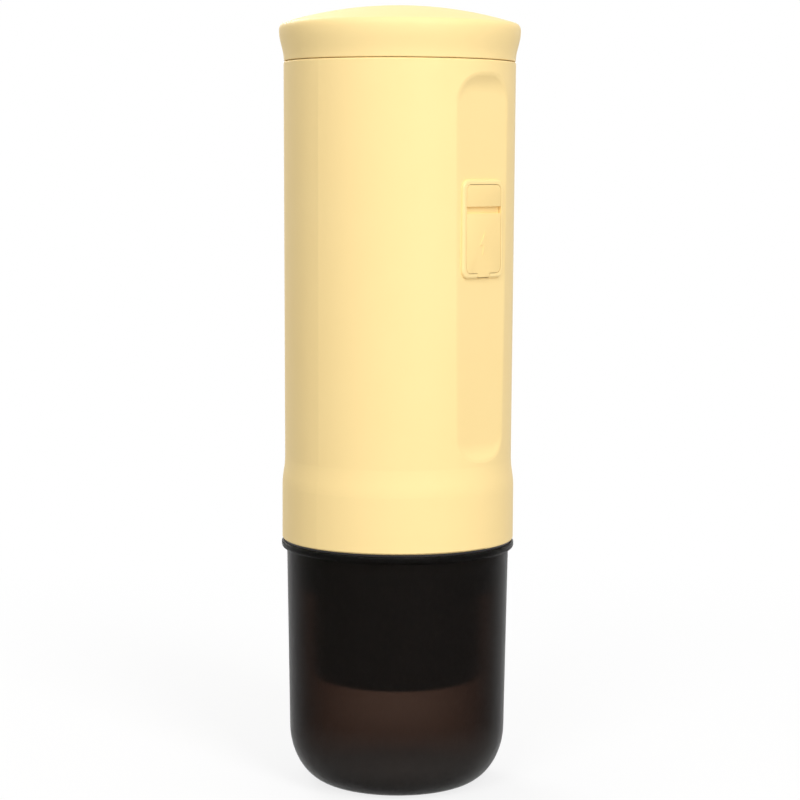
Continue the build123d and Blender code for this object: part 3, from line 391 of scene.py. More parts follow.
# Copolyester with a brown-black dye and a soft sheen, so that what stands behind the wall shows dark and
# blurred. Its index is far below the real 1.57, at which the white surround would draw a pale rim that the
# real cup lacks. The foot is made lighter by a painted reflection of the white table, a matt share of its
# surface in place of the real foot's mirroring
CUP_COPOLYESTER = ClearFinish(
    "copolyester_smoky_brown",
    colour="#F4EDE8",
    tone="#F1E9E2",
    roughness=0.32,
    ior=1.12,
    grain_mm=6.0,
    grain_depth_mm=0.004,
    gloss_drift=0.02,
    transmission=0.993,
    absorbed="#8F6A4C",
    absorption=980.0,
    painted_table_reflection=0.028,
    painted_table_reflection_full_mm=10.0,
    painted_table_reflection_end_mm=22.0,
)
# Black polypropylene from a fine-textured mould, with a soft broad sheen
BLACK_PLASTIC = Finish("polypropylene_moulded_black", "#242325", "#1E1D20", 0.36, ior=1.49, gloss=0.3)
# Glass-filled nylon shows its fibres as a dry, slightly mottled grey
GREY_NYLON = Finish(
    "nylon_glass_filled_grey", "#8A8C8E", "#7C7E81", 0.6, ior=1.53, tone_mm=5.0, grain_mm=0.8
)
# Nitrile seals are matt with a faint bloom
SEAL_RUBBER = Finish("nitrile_rubber_black", "#161617", "#222223", 0.72, ior=1.52, tone_mm=8.0)
# Food hose of clear silicone is milky rather than glassy
HOSE_SILICONE = ClearFinish(
    "silicone_hose_clear", "#EDEFEC", "#E4E8E4", 0.32, ior=1.41, transmission=0.75, grain_mm=2.0
)
# Pressed and brushed stainless steel: fine lines round the axis, as from a belt
STAINLESS = Finish(
    "stainless_steel_brushed", "#C9C7C2", "#BDBBB6", 0.28, metallic=1.0, stretch=(0.15, 0.15, 3.0)
)
# Bright zinc plating has small blotches and a bluish cast
ZINC_STEEL = Finish(
    "zinc_plated_steel", "#C4C8CE", "#AEB2BA", 0.34, metallic=1.0, tone_mm=1.5, grain_mm=0.3
)
# Shrink wrap of PVC, tight and glossy over the cell
CELL_WRAP = CoatedFinish(
    "pvc_shrink_wrap_teal", "#2E7D84", "#276F77", 0.3, ior=1.54, tone_mm=30.0, grain_mm=1.5
)
# Deep-drawn and nickel-plated steel can, with drawing lines along the axis
MOTOR_CAN = Finish(
    "drawn_steel_can", "#B4B4B2", "#A5A5A4", 0.33, metallic=1.0, stretch=(3.0, 3.0, 0.12), grain_mm=0.6
)
# Die-cast aluminium is grainy and dull
CAST_ALUMINIUM = Finish(
    "aluminium_die_cast",
    colour="#B9BBBE",
    tone="#A9ABAF",
    roughness=0.5,
    metallic=1.0,
    tone_mm=3.0,
    grain_mm=0.7,
    grain_depth_mm=0.03,
)
# Glass-epoxy board under green solder mask
CIRCUIT_BOARD = BoardFinish("glass_epoxy_green_mask", "#0E5B33", "#0B512D", 0.38, ior=1.55, tone_mm=12.0)
# Epoxy moulding compound of chip packages is matt and speckled
CHIP_EPOXY = Finish("epoxy_moulded_black", "#1E1E21", "#2A2A2D", 0.62, ior=1.55, tone_mm=0.8)
# Nickel-plated receptacle shell
PORT_NICKEL = Finish(
    "nickel_plated_shell", "#BDB9AF", "#B0ACA2", 0.24, metallic=1.0, tone_mm=2.0, grain_mm=0.3
)
# Opal polycarbonate light guide
OPAL_RING = OpalFinish("polycarbonate_opal", "#F4F1E8", "#EFEBE0", 0.4, ior=1.58)
# Gilt contact spring
GILT_CONTACT = Finish("gilt_contact", "#D9B65C", "#CFA94C", 0.22, metallic=1.0, tone_mm=1.0, grain_mm=0.2)
# Pad-printed ink in a warm grey
PRINT_INK = Finish("pad_printed_ink_grey", "#8F7A52", "#86724B", 0.5, ior=1.5, grain_mm=0.3)

FINISHES: dict[Slot, Finish] = {
    Slot.SLEEVE: SLEEVE_ABS,
    Slot.COVER: COVER_SILICONE,
    Slot.CUP: CUP_COPOLYESTER,
    Slot.BLACK: BLACK_PLASTIC,
    Slot.GREY: GREY_NYLON,
    Slot.RUBBER: SEAL_RUBBER,
    Slot.HOSE: HOSE_SILICONE,
    Slot.STAINLESS: STAINLESS,
    Slot.ZINC: ZINC_STEEL,
    Slot.CELL: CELL_WRAP,
    Slot.MOTOR: MOTOR_CAN,
    Slot.ALUMINIUM: CAST_ALUMINIUM,
    Slot.BOARD: CIRCUIT_BOARD,
    Slot.COMPONENT: CHIP_EPOXY,
    Slot.PORT: PORT_NICKEL,
    Slot.LIGHT: OPAL_RING,
}


# Shaping by hand


def deselect() -> None:
    """Clear the selection, which the frame leaves on the CAD nodes."""
    bpy.ops.object.select_all(action="DESELECT")


def make_active(piece: Piece) -> None:
    """Select one piece alone, for the operators that follow.

    Args:
        piece: the piece to work on.
    """
    deselect()
    bpy.context.view_layer.objects.active = piece
    piece.select_set(True)


def settle_primitive(name: str) -> Piece:
    """Name the primitive that was just added and move its place and size into its mesh.

    Args:
        name: the piece's name.

    Returns:
        The piece, at the origin.
    """
    piece = bpy.context.active_object
    piece.name = name
    piece.data.name = name
    apply_place(piece)
    return piece


def apply_place(piece: Piece) -> None:
    """Move a piece's place, turn and size into its mesh.

    Args:
        piece: the piece, which ends at the origin.
    """
    make_active(piece)
    bpy.ops.object.transform_apply(location=True, rotation=True, scale=True)


def block(name: str, low: Vector, high: Vector) -> Piece:
    """Add a box between two corners.

    Args:
        name: the piece's name.
        low: its lowest corner.
        high: its highest corner.

    Returns:
        The box.
    """
    deselect()
    bpy.ops.mesh.primitive_cube_add(size=1, location=(low + high) / 2, scale=high - low)
    return settle_primitive(name)


def rod(name: str, foot: Vector, top: Vector, radius: float, sides: int = 32) -> Piece:
    """Add a round bar between two points.

    Args:
        name: the piece's name.
        foot: the middle of one end.
        top: the middle of the other end.
        radius: the bar's radius.
        sides: the number of sides.

    Returns:
        The bar.
    """
    deselect()
    axis = top - foot
    turn = axis.to_track_quat("Z", "Y").to_euler()
    bpy.ops.mesh.primitive_cylinder_add(
        vertices=sides, radius=radius, depth=axis.length, location=(foot + top) / 2, rotation=turn
    )
    return settle_primitive(name)


@contextmanager
def editing(piece: Piece) -> Iterator[None]:
    """Open a piece in edit mode with nothing selected, and close it again.

    Args:
        piece: the piece to edit.
    """
    make_active(piece)
    bpy.ops.object.mode_set(mode="EDIT")
    bpy.ops.mesh.select_all(action="DESELECT")
    yield
    bpy.ops.object.mode_set(mode="OBJECT")


def pick_faces(piece: Piece, test: Callable[[Vector, Vector], bool]) -> None:
    """Select the faces that pass a test.

    Args:
        piece: the piece in edit mode.
        test: takes a face's middle and normal.
    """
    bpy.ops.mesh.select_mode(type="FACE")
    mesh = bmesh.from_edit_mesh(piece.data)
    for face in mesh.faces:
        face.select_set(test(face.calc_center_median(), face.normal))
    bmesh.update_edit_mesh(piece.data)


def pick_edges(piece: Piece, test: Callable[[Vector, Vector], bool]) -> None:
    """Select the edges that pass a test.

    Args:
        piece: the piece in edit mode.
        test: takes an edge's middle and its direction, of length one.
    """
    bpy.ops.mesh.select_mode(type="EDGE")
    mesh = bmesh.from_edit_mesh(piece.data)
    for edge in mesh.edges:
        low, high = (vertex.co for vertex in edge.verts)
        edge.select_set(test((low + high) / 2, (high - low).normalized()))
    bmesh.update_edit_mesh(piece.data)


def modify(piece: Piece, kind: str, **settings: object) -> None:
    """Add one modifier and apply it.

    Args:
        piece: the piece to change.
        kind: the modifier's Blender type.
        settings: its settings.
    """
    modifier = piece.modifiers.new(kind.lower(), kind)
    for name, value in settings.items():
        setattr(modifier, name, value)
    make_active(piece)
    bpy.ops.object.modifier_apply(modifier=modifier.name)


def combine(piece: Piece, tool: Piece, join: Join) -> None:
    """Add a second mesh to a piece or cut it out, and use it up.

    Args:
        piece: the piece to change.
        tool: the mesh that is added or cut out.
        join: which of the two.
    """
    modify(piece, "BOOLEAN", operation=join.value, solver="EXACT", object=tool)
    bpy.data.objects.remove(tool)


def gather(name: str, pieces: list[Piece]) -> Piece:
    """Make several meshes one piece.

    Args:
        name: the piece's name.
        pieces: the meshes, which it takes up.

    Returns:
        The piece.
    """
    make_active(pieces[0])
    for other in pieces[1:]:
        other.select_set(True)
    if len(pieces) > 1:
        bpy.ops.object.join()
    pieces[0].name = name
    pieces[0].data.name = name
    return pieces[0]


def polish(piece: Piece, finish: Finish) -> None:
    """Shade a finished mesh and give it its material.

    Args:
        piece: the finished piece.
        finish: its material.
    """
    with editing(piece):
        bpy.ops.mesh.select_all(action="SELECT")
        bpy.ops.mesh.remove_doubles(threshold=MERGE_GAP)
        bpy.ops.mesh.normals_make_consistent(inside=False)
    make_active(piece)
    bpy.ops.object.shade_smooth_by_angle(angle=SMOOTH_ANGLE)
    piece.data.materials.clear()
    piece.data.materials.append(finish.material())


def hand_over(piece: Piece, body: Body, slot: Slot, *nodes: str) -> None:
    """Let a finished piece ride on its body and stand for its CAD nodes.

    Args:
        piece: the finished piece.
        body: the body that carries it.
        slot: the record's slot for its finish; not used.
        nodes: the CAD nodes that it replaces.
    """
    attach(piece, body.value)
    if nodes:
        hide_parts(*nodes)
    log.info("%s rides on %s", piece.name, body.value)


@dataclass(frozen=True)
class Ridge:
    """A ridge that winds round the Z axis, such as one start of a thread or part of a ring.

    Attributes:
        root: the radius at which it stands on its wall.
        crest: the radius of its top.
        foot: its section's height at the root.
        tip: its section's height at the crest.
        turns: how far it winds.
        lead: how far it rises in a turn.
        steps_per_turn: the facets in a turn.
        fade: the share of its length over which each end sinks into the wall.
        end: the share of its depth that is left at the very end.
    """

    root: float
    crest: float
    foot: float
    tip: float
    turns: float
    lead: float
    steps_per_turn: int = 96
    fade: float = 0.08
    end: float = 0.05

    def build(self, name: str, start: float, low: float) -> Piece:
        """Sweep the section along the helix, fade its ends into the wall and close them.

        Args:
            name: the piece's name.
            start: the angle at which it starts, in radians.
            low: the height of its section's middle there.

        Returns:
            The ridge.
        """
        deselect()
        bpy.ops.mesh.primitive_plane_add(size=1)
        piece = settle_primitive(name)
        section = (
            (self.root, -self.foot / 2),
            (self.root, self.foot / 2),
            (self.crest, -self.tip / 2),
            (self.crest, self.tip / 2),
        )
        for vertex, (radius, height) in zip(piece.data.vertices, section):
            vertex.co = (radius, 0, height)
        with editing(piece):
            bpy.ops.mesh.select_all(action="SELECT")
            bpy.ops.mesh.delete(type="ONLY_FACE")
        steps = round(self.turns * self.steps_per_turn)
        modify(
            piece,
            "SCREW",
            axis="Z",
            angle=2 * math.pi * self.turns,
            screw_offset=self.lead * self.turns,
            steps=steps,
            render_steps=steps,
        )
        if self.fade:
            self.fade_ends(piece, steps, len(section))
        with editing(piece):
            bpy.ops.mesh.select_all(action="SELECT")
            bpy.ops.mesh.fill_holes(sides=len(section))
            bpy.ops.mesh.normals_make_consistent(inside=False)
        piece.rotation_euler.z = start
        piece.location.z = low
        apply_place(piece)
        return piece

    def fade_ends(self, piece: Piece, steps: int, corners: int) -> None:
        """Let the crest sink into the wall over the first and last stretch.

        Args:
            piece: the swept ridge, whose points are in the order of the sweep.
            steps: the number of steps in the sweep.
            corners: the number of points in its section.
        """
        for vertex in piece.data.vertices:
            share = vertex.index // corners / steps
            height = min(1.0, share / self.fade, (1 - share) / self.fade)
            radius = math.hypot(vertex.co.x, vertex.co.y)
            sunk = self.root + (radius - self.root) * max(height, self.end)
            vertex.co.x *= sunk / radius
            vertex.co.y *= sunk / radius


@dataclass(frozen=True)
class Thread:
    """A right-hand thread of two starts with steep flanks, as moulded on a jar."""

    root: float
    crest: float
    turns: float
    lead: float
    height: float = 1.7 * MM
    tip: float = 0.7 * MM
    starts: int = 2

    def build(self, name: str, start: float, low: float, body: Body) -> None:
        """Wind all the starts in black plastic and let them ride on their body.

        Args:
            name: the piece's name.
            start: the angle at which the first start begins, in radians.
            low: its height there.
            body: the body that carries the thread.
        """
        section = {"root": self.root, "crest": self.crest, "foot": self.height, "tip": self.tip}
        ridge = Ridge(**section, turns=self.turns, lead=self.lead)
        turns = [start + 2 * math.pi * number / self.starts for number in range(self.starts)]
        piece = gather(name, [ridge.build(f"{name}_start", turn, low) for turn in turns])
        polish(piece, BLACK_PLASTIC)
        hand_over(piece, body, Slot.BLACK)


# Screws


@dataclass(frozen=True)
class ScrewShape:
    """A pan-head screw's proportions, as shares of its other sizes, and the facets of its round parts."""

    core_per_shank: float = 0.8
    crown_per_height: float = 0.45
    crown_facets: int = 4
    point_per_core: float = 0.5
    arm_per_head: float = 0.62
    side_per_head: float = 0.13
    floor_per_height: float = 0.35
    root_per_core: float = 0.98
    foot_per_pitch: float = 0.6
    tip_per_pitch: float = 0.15
    ridge_facets: int = 24


@dataclass(frozen=True)
class ScrewSet:
    """Pan-head screws with a cross recess, in place of one CAD node's plain ones."""

    node: str
    slot: Slot
    # The direction from a screw's tip to its head
    drive: tuple[float, float, float]
    shank: float = 1.25 * MM
    head_height: float = 1.6 * MM
    pitch: float = 1.0 * MM
    # Points this far from each other, across the drive, belong to different screws
    apart: float = 8.0 * MM
    sides: int = 32
    shape: ScrewShape = ScrewShape()

    def places(self) -> list[tuple[Vector, float, float, float]]:
        """Find the node's screws.

        Returns:
            For each screw its middle on the axis at height zero, its head's radius, and its lowest and
            highest place along the drive direction.
        """
        drive = Vector(self.drive)
        found: list[list[Vector]] = []
        for vertex in frame["nodes"][self.node].data.vertices:
            flat = vertex.co - drive * vertex.co.dot(drive)
            for points in found:
                first = points[0] - drive * points[0].dot(drive)
                if (flat - first).length < self.apart:
                    points.append(vertex.co)
                    break
            else:
                found.append([vertex.co])
        screws = []
        for points in found:
            along = [point.dot(drive) for point in points]
            flats = [point - drive * point.dot(drive) for point in points]
            low = Vector([min(flat[axis] for flat in flats) for axis in range(3)])
            high = Vector([max(flat[axis] for flat in flats) for axis in range(3)])
            screws.append(((low + high) / 2, max(high - low) / 2, min(along), max(along)))
        return screws

    def model(self, head: float, length: float) -> Piece:
        """Shape one screw along +Z, with the underside of its head at the origin.

        Args:
            head: the head's radius.
            length: the shank's length.

        Returns:
            The screw.
        """
        shape = self.shape
        top = Vector((0, 0, self.head_height))
        screw = rod(f"{self.node}_one", Vector(), top, head, self.sides)
        core = self.shank * shape.core_per_shank
        crown = self.head_height * shape.crown_per_height
        with editing(screw):
            pick_edges(screw, lambda middle, along: middle.z > top.z * MOSTLY and abs(along.z) < HARDLY)
            bpy.ops.mesh.bevel(offset=crown, segments=shape.crown_facets, affect="EDGES")
            pick_faces(screw, lambda middle, normal: normal.z < -MOSTLY)
            bpy.ops.mesh.inset(thickness=head - core)
            bpy.ops.mesh.extrude_region_move(TRANSFORM_OT_translate={"value": (0, 0, -length)})
            pick_edges(screw, lambda middle, along: middle.z < -length * MOSTLY)
            bpy.ops.mesh.bevel(offset=core * shape.point_per_core, segments=1, affect="EDGES")
        arm, side = head * shape.arm_per_head, head * shape.side_per_head
        floor = self.head_height * shape.floor_per_height
        for reach, width in ((arm, side), (side, arm)):
            slot = block("recess", Vector((-reach, -width, floor)), Vector((reach, width, 2 * top.z)))
            combine(screw, slot, Join.DIFFERENCE)
        winding = Ridge(
            root=core * shape.root_per_core,
            crest=self.shank,
            foot=self.pitch * shape.foot_per_pitch,
            tip=self.pitch * shape.tip_per_pitch,
            turns=(length - 2 * core) / self.pitch,
            lead=self.pitch,
            steps_per_turn=shape.ridge_facets,
        )
        thread = winding.build("winding", 0.0, -length + core)
        return gather(f"{self.node}_one", [screw, thread])

    def build(self) -> None:
        """Model one screw and copy it to every place of the node."""
        drive = Vector(self.drive)
        turn = drive.to_track_quat("Z", "Y").to_matrix().to_4x4()
        places = self.places()
        _, head, low, high = places[0]
        first = self.model(head, high - self.head_height - low)
        copies = []
        for middle, _, _, top in places:
            copy = first.copy()
            copy.data = first.data.copy()
            bpy.context.scene.collection.objects.link(copy)
            copy.data.transform(Matrix.Translation(middle + drive * (top - self.head_height)) @ turn)
            copies.append(copy)
        bpy.data.objects.remove(first)
        piece = gather(f"{self.node}_cross_head", copies)
        polish(piece, FINISHES[self.slot])
        hand_over(piece, Body.MACHINE, self.slot, self.node)


# Sub-assemblies


class SubAssembly(ABC):
    """A group of pieces that is put together as one."""

    @abstractmethod
    def build(self) -> None:
        """Model the pieces that the CAD nodes don't show."""


@dataclass(frozen=True)
class Lid(SubAssembly):
    """The screw lid: two thread starts on its liner, which run on those of the tank's neck."""

    lead: float = 8.0 * MM
    turns: float = 0.5
    sink: float = 0.1 * MM
    reach: float = 1.0 * MM
    foot_gap: float = 1.5 * MM
    liner_wall: float = 1.7 * MM
    thread_room: float = 1.3 * MM
    liner_start: float = math.radians(-60)

    def build(self) -> None:
        """Wind the threads of the neck and of the liner, half a pitch apart."""
        _, liner_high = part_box("lid_liner")
        shell_low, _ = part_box("lid_shell")
        bore = liner_high.x - self.liner_wall
        neck = bore - self.thread_room
        low = shell_low.z + self.foot_gap
        outer = Thread(neck - self.sink, neck + self.reach, self.turns, self.lead)
        outer.build("neck_thread", 0.0, low, Body.MACHINE)
        inner = Thread(bore + self.sink, bore - self.reach, self.turns, self.lead)
        rise = self.lead / (2 * outer.starts) + self.lead * self.liner_start / (2 * math.pi)
        inner.build("liner_thread", self.liner_start, low + rise, Body.LID)


@dataclass(frozen=True)
class BrewGroup(SubAssembly):
    """The group's threaded boss and the brew head that screws over it."""

    lead: float = 8.0 * MM
    turns: float = 0.75
    sink: float = 0.1 * MM
    reach: float = 0.7 * MM
    foot_gap: float = 1.5 * MM
    ridge: float = 1.5 * MM
    brew_wall: float = 4.1 * MM
    thread_room: float = 1.1 * MM
    shower_shank: float = 1.5 * MM

    def build(self) -> None:
        """Wind the threads of the boss and of the brew head, half a pitch apart."""
        boss_low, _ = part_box("group_block")
        _, head_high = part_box("brew_head")
        bore = head_high.x - self.brew_wall
        boss = bore - self.thread_room
        low = boss_low.z + self.foot_gap
        outer = Thread(boss - self.sink, boss + self.reach, self.turns, self.lead, height=self.ridge)
        outer.build("boss_thread", 0.0, low, Body.MACHINE)
        inner = Thread(bore + self.sink, bore - self.reach, self.turns, self.lead, height=self.ridge)
        inner.build("brew_head_thread", 0.0, low + self.lead / (2 * outer.starts), Body.BREW_HEAD)
        ScrewSet("base_screws", Slot.ZINC, (0, 0, -1)).build()
        ScrewSet("shower_screw", Slot.STAINLESS, (0, 0, -1), shank=self.shower_shank).build()


# A bolt's corners, as shares of half its width and half its height
BOLT = ((0.35, 1.0), (-1.0, -0.15), (-0.1, -0.15), (-0.35, -1.0), (1.0, 0.15), (0.1, 0.15))


@dataclass(frozen=True)
class PortCover(SubAssembly):
    """The silicone port cover: a fixed pad and a flap, with a thin hinge in the groove between them."""

    corner: float = 1.75 * MM
    corner_facets: int = 8
    thickness: float = 1.5 * MM
    web: float = 0.4 * MM
    groove: float = 2.0 * MM
    web_cuts: int = 7
    tab_width: float = 5.0 * MM
    tab_length: float = 1.2 * MM
    plug_length: float = 7.6 * MM
    plug_width: float = 2.0 * MM
    plug_round: float = 0.95
    plug_facets: int = 6
    bite: float = 0.5 * MM
    peg_radius: float = 1.3 * MM
    peg_spread: float = 8.0 * MM
    peg_head: float = 2.0 * MM
    peg_head_height: float = 0.9 * MM
    edge: float = 0.3 * MM
    edge_angle: float = math.radians(50)
    edge_facets: int = 3
    bolt_width: float = 3.4 * MM
    bolt_height: float = 7.0 * MM
    bolt_rise: float = 0.16 * MM

    def build(self) -> None:
        """Shape the cover from one slab, with its hinge cut into short parts."""
        pad_low, pad_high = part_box("port_cover_anchor")
        flap_low, flap_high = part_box("port_cover")
        face, half = pad_high.y, pad_high.x
        rear = face - self.thickness
        bottom = flap_low.z + self.tab_length
        flap_middle = (flap_high.z + bottom) / 2
        groove_low, groove_high = flap_high.z, flap_high.z + self.groove
        corners = Vector((-half, rear, bottom)), Vector((half, face, pad_high.z))
        cover = block("port_cover_silicone", *corners)
        with editing(cover):
            pick_edges(cover, lambda middle, along: abs(along.y) > MOSTLY)
            bpy.ops.mesh.bevel(offset=self.corner, segments=self.corner_facets, affect="EDGES")
        tab = self.tab_width / 2
        tab_low = Vector((-tab, rear, flap_low.z))
        combine(cover, block("tab", tab_low, Vector((tab, face, bottom + self.corner))), Join.UNION)
        wide = 2 * half
        self.cut_groove(cover, Vector((-wide, rear, groove_low)), Vector((wide, face, groove_high)))
        self.add_bolt(cover, face, flap_middle)
        modify(
            cover,
            "BEVEL",
            width=self.edge,
            segments=self.edge_facets,
            limit_method="ANGLE",
            angle_limit=self.edge_angle,
            use_clamp_overlap=True,
        )
        self.add_plug(cover, rear, flap_low.y, flap_middle)
        self.add_pegs(cover, rear, pad_low.y, (groove_high + pad_high.z) / 2)
        self.divide_hinge(cover, groove_low)
        polish(cover, COVER_SILICONE)
        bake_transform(cover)
        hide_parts("port_cover_anchor", "port_cover")
        log.info("%s bends from %s to %s", cover.name, Body.MACHINE.value, Body.FLAP.value)

    def cut_groove(self, cover: Piece, low: Vector, high: Vector) -> None:
        """Thin the slab from both faces down to the hinge.

        Args:
            cover: the cover's mesh.
            low: the groove's lowest corner, on the slab's rear face.
            high: its highest corner, on the front face.
        """
        pivot = next(joint["pos_m"] for joint in frame["joints"] if joint["name"] == "port_cover_fold")
        web_low, web_high = pivot[1] - self.web / 2, pivot[1] + self.web / 2
        for near, far in ((web_high, high.y + self.web), (low.y - self.web, web_low)):
            cut = block("groove", Vector((low.x, near, low.z)), Vector((high.x, far, high.z)))
            combine(cover, cut, Join.DIFFERENCE)

    def divide_hinge(self, cover: Piece, low: float) -> None:
        """Cut the hinge into short parts, so that it can bend.

        Args:
            cover: the cover's mesh.
            low: the hinge's lower end.
        """
        with editing(cover):
            for cut in range(1, self.web_cuts + 1):
                bpy.ops.mesh.select_all(action="SELECT")
                height = low + self.groove * cut / (self.web_cuts + 1)
                bpy.ops.mesh.bisect(plane_co=(0, 0, height), plane_no=(0, 0, 1))

    def add_bolt(self, cover: Piece, face: float, middle: float) -> None:
        """Raise the plain charging sign, a bolt, on the flap.

        Args:
            cover: the cover's mesh.
            face: its front face's place along Y.
            middle: the sign's middle height.
        """
        wide, high = self.bolt_width / 2, self.bolt_height / 2
        deselect()
        bpy.ops.mesh.primitive_circle_add(vertices=len(BOLT), fill_type="NGON")
        bolt = settle_primitive("bolt")
        for vertex, (across, up) in zip(bolt.data.vertices, BOLT):
            vertex.co = (-across * wide, face - self.edge, middle + up * high)
        with editing(bolt):
            bpy.ops.mesh.select_all(action="SELECT")
            rise = (0, self.edge + self.bolt_rise, 0)
            bpy.ops.mesh.extrude_region_move(TRANSFORM_OT_translate={"value": rise})
            bpy.ops.mesh.select_all(action="SELECT")
            bpy.ops.mesh.normals_make_consistent(inside=False)
        combine(cover, bolt, Join.UNION)

    def add_plug(self, cover: Piece, rear: float, tip: float, middle: float) -> None:
        """Add the tongue-shaped plug that fills the receptacle's mouth.

        Args:
            cover: the cover's mesh.
            rear: the flap's rear face along Y.
            tip: the plug's end along Y.
            middle: the plug's middle height.
        """
        wide, long = self.plug_width / 2, self.plug_length / 2
        corners = Vector((-wide, tip, middle - long)), Vector((wide, rear + self.bite, middle + long))
        plug = block("plug", *corners)
        with editing(plug):
            pick_edges(plug, lambda place, along: abs(along.y) > MOSTLY)
            bpy.ops.mesh.bevel(offset=wide * self.plug_round, segments=self.plug_facets, affect="EDGES")
        combine(cover, plug, Join.UNION)

    def add_pegs(self, cover: Piece, rear: float, tip: float, middle: float) -> None:
        """Add the two pegs that hold the pad in the panel, each with its head behind the wall.

        Args:
            cover: the cover's mesh.
            rear: the pad's rear face along Y.
            tip: the pegs' ends along Y.
            middle: the pegs' height.
        """
        depths = tip, tip + self.peg_head_height, rear + self.bite
        for across in (-self.peg_spread / 2, self.peg_spread / 2):
            end, neck, inside = (Vector((across, depth, middle)) for depth in depths)
            combine(cover, rod("peg", neck, inside, self.peg_radius), Join.UNION)
            combine(cover, rod("peg_head", end, neck, self.peg_head), Join.UNION)


@dataclass(frozen=True)
class Receptacle(SubAssembly):
    """The charging receptacle's contacts, on both sides of its tongue."""

    count: int = 8
    pitch: float = 0.7 * MM
    width: float = 0.3 * MM
    proud: float = 0.04 * MM
    length: float = 3.6 * MM
    inset: float = 0.4 * MM
    tongue_half: float = 0.35 * MM

    def build(self) -> None:
        """Lay the gilt contacts on the tongue."""
        low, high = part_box("usb_tongue")
        middle = (low.z + high.z) / 2
        tip = high.y - self.inset
        strips = []
        for number in range(self.count):
            height = middle + (number - (self.count - 1) / 2) * self.pitch
            corner = Vector((-self.tongue_half - self.proud, tip - self.length, height - self.width / 2))
            strip = block("contact", corner, Vector((-corner.x, tip, height + self.width / 2)))
            modify(strip, "BEVEL", width=self.proud / 2, segments=1)
            strips.append(strip)
        piece = gather("port_contacts", strips)
        polish(piece, GILT_CONTACT)
        hand_over(piece, Body.MACHINE, Slot.PORT)


@dataclass(frozen=True)
class PowerButton(SubAssembly):
    """The power button's screws and its printed sign: an open ring with a bar, for on and standby."""

    ring: float = 2.0 * MM
    ring_steps: int = 64
    line: float = 0.5 * MM
    opening: float = math.radians(70)
    bar_low: float = 0.5 * MM
    bar_high: float = 2.6 * MM
    depth: float = 0.3 * MM
    proud: float = 0.03 * MM
    shank: float = 0.9 * MM
    head_height: float = 1.2 * MM
    pitch: float = 0.7 * MM

    def build(self) -> None:
        """Print the sign on the button's curved face, and put the screws in."""
        low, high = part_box("power_button")
        middle = (low.z + high.z) / 2
        arc = Ridge(
            root=self.ring - self.line / 2,
            crest=self.ring + self.line / 2,
            foot=self.depth,
            tip=self.depth,
            turns=1 - self.opening / (2 * math.pi),
            lead=0.0,
            steps_per_turn=self.ring_steps,
            fade=0.0,
        )
        ring = arc.build("ring", math.pi / 2 + self.opening / 2, 0.0)
        corner = Vector((self.line / 2, self.bar_high, self.depth / 2))
        bar = block("bar", Vector((-corner.x, self.bar_low, -corner.z)), corner)
        sign = gather("power_sign", [ring, bar])
        sign.rotation_euler.x = math.pi / 2
        sign.location.z = middle
        apply_place(sign)
        radius = -low.y
        for vertex in sign.data.vertices:
            vertex.co.y -= math.sqrt(radius**2 - vertex.co.x**2) + self.proud - self.depth / 2
        polish(sign, PRINT_INK)
        hand_over(sign, Body.BUTTON, Slot.SLEEVE)
        screws = ScrewSet("button_screws", Slot.ZINC, (0, 1, 0), self.shank, self.head_height, self.pitch)
        screws.build()


@dataclass(frozen=True)
class Bay(SubAssembly):
    """The trays and the tank, which long screws hold together."""

    def build(self) -> None:
        """Put the screws in."""
        ScrewSet("tray_screws", Slot.ZINC, (0, 0, 1)).build()
        ScrewSet("tank_screws", Slot.ZINC, (0, 0, -1)).build()


def dress_nodes() -> None:
    """Give each CAD node the finish of its slot."""
    for name, node in frame["nodes"].items():
        slot = Slot(node.material_slots[0].material.name)
        node.material_slots[0].material = FINISHES[slot].material()
        log.info("%s is finished in %s", name, FINISHES[slot].name)


# Studio


@dataclass(frozen=True)
class PhotoCamera:
    """The photograph's camera, fitted to the object's outline."""

    frame_px: float = 800.0
    focal_px: float = 2332.0
    sensor_mm: float = 36.0
    distance: float = 0.7022
    height: float = 0.188
    bearing: float = math.radians(42.9)
    pitch: float = math.radians(5.8)
    roll: float = math.radians(0.27)
    aside: float = math.radians(0.043)

    def build(self) -> None:
        """Place the camera."""
        lens = bpy.data.cameras.new("photo_camera")
        lens.sensor_width = self.sensor_mm
        lens.lens = self.focal_px / self.frame_px * self.sensor_mm
        camera = bpy.data.objects.new("photo_camera", lens)
        bpy.context.scene.collection.objects.link(camera)
        heading = Matrix.Rotation(self.bearing + math.pi / 2 - self.aside, 4, "Z")
        tilt = Matrix.Rotation(math.pi / 2 - self.pitch, 4, "X")
        spot = Vector((math.cos(self.bearing), math.sin(self.bearing), 0)) * self.distance
        spot.z = self.height
        lean = Matrix.Rotation(self.roll, 4, "Z")
        camera.matrix_world = Matrix.Translation(spot) @ heading @ tilt @ lean
        bpy.context.scene.camera = camera


@dataclass(frozen=True)
class Softbox:
    """A soft rectangular light."""

    name: str
    bearing_deg: float
    height: float
    distance: float
    width: float
    tall: float
    power: float

    def build(self, aim: Vector) -> None:
        """Hang the light.

        Args:
            aim: the point that it looks at.
        """
        lamp = bpy.data.lights.new(self.name, "AREA")
        lamp.shape = "RECTANGLE"
        lamp.size = self.width
        lamp.size_y = self.tall
        lamp.energy = self.power
        light = bpy.data.objects.new(self.name, lamp)
        bpy.context.scene.collection.objects.link(light)
        angle = math.radians(self.bearing_deg)
        light.location = (math.cos(angle) * self.distance, math.sin(angle) * self.distance, self.height)
        light.rotation_euler = (aim - light.location).to_track_quat("-Z", "Y").to_euler()


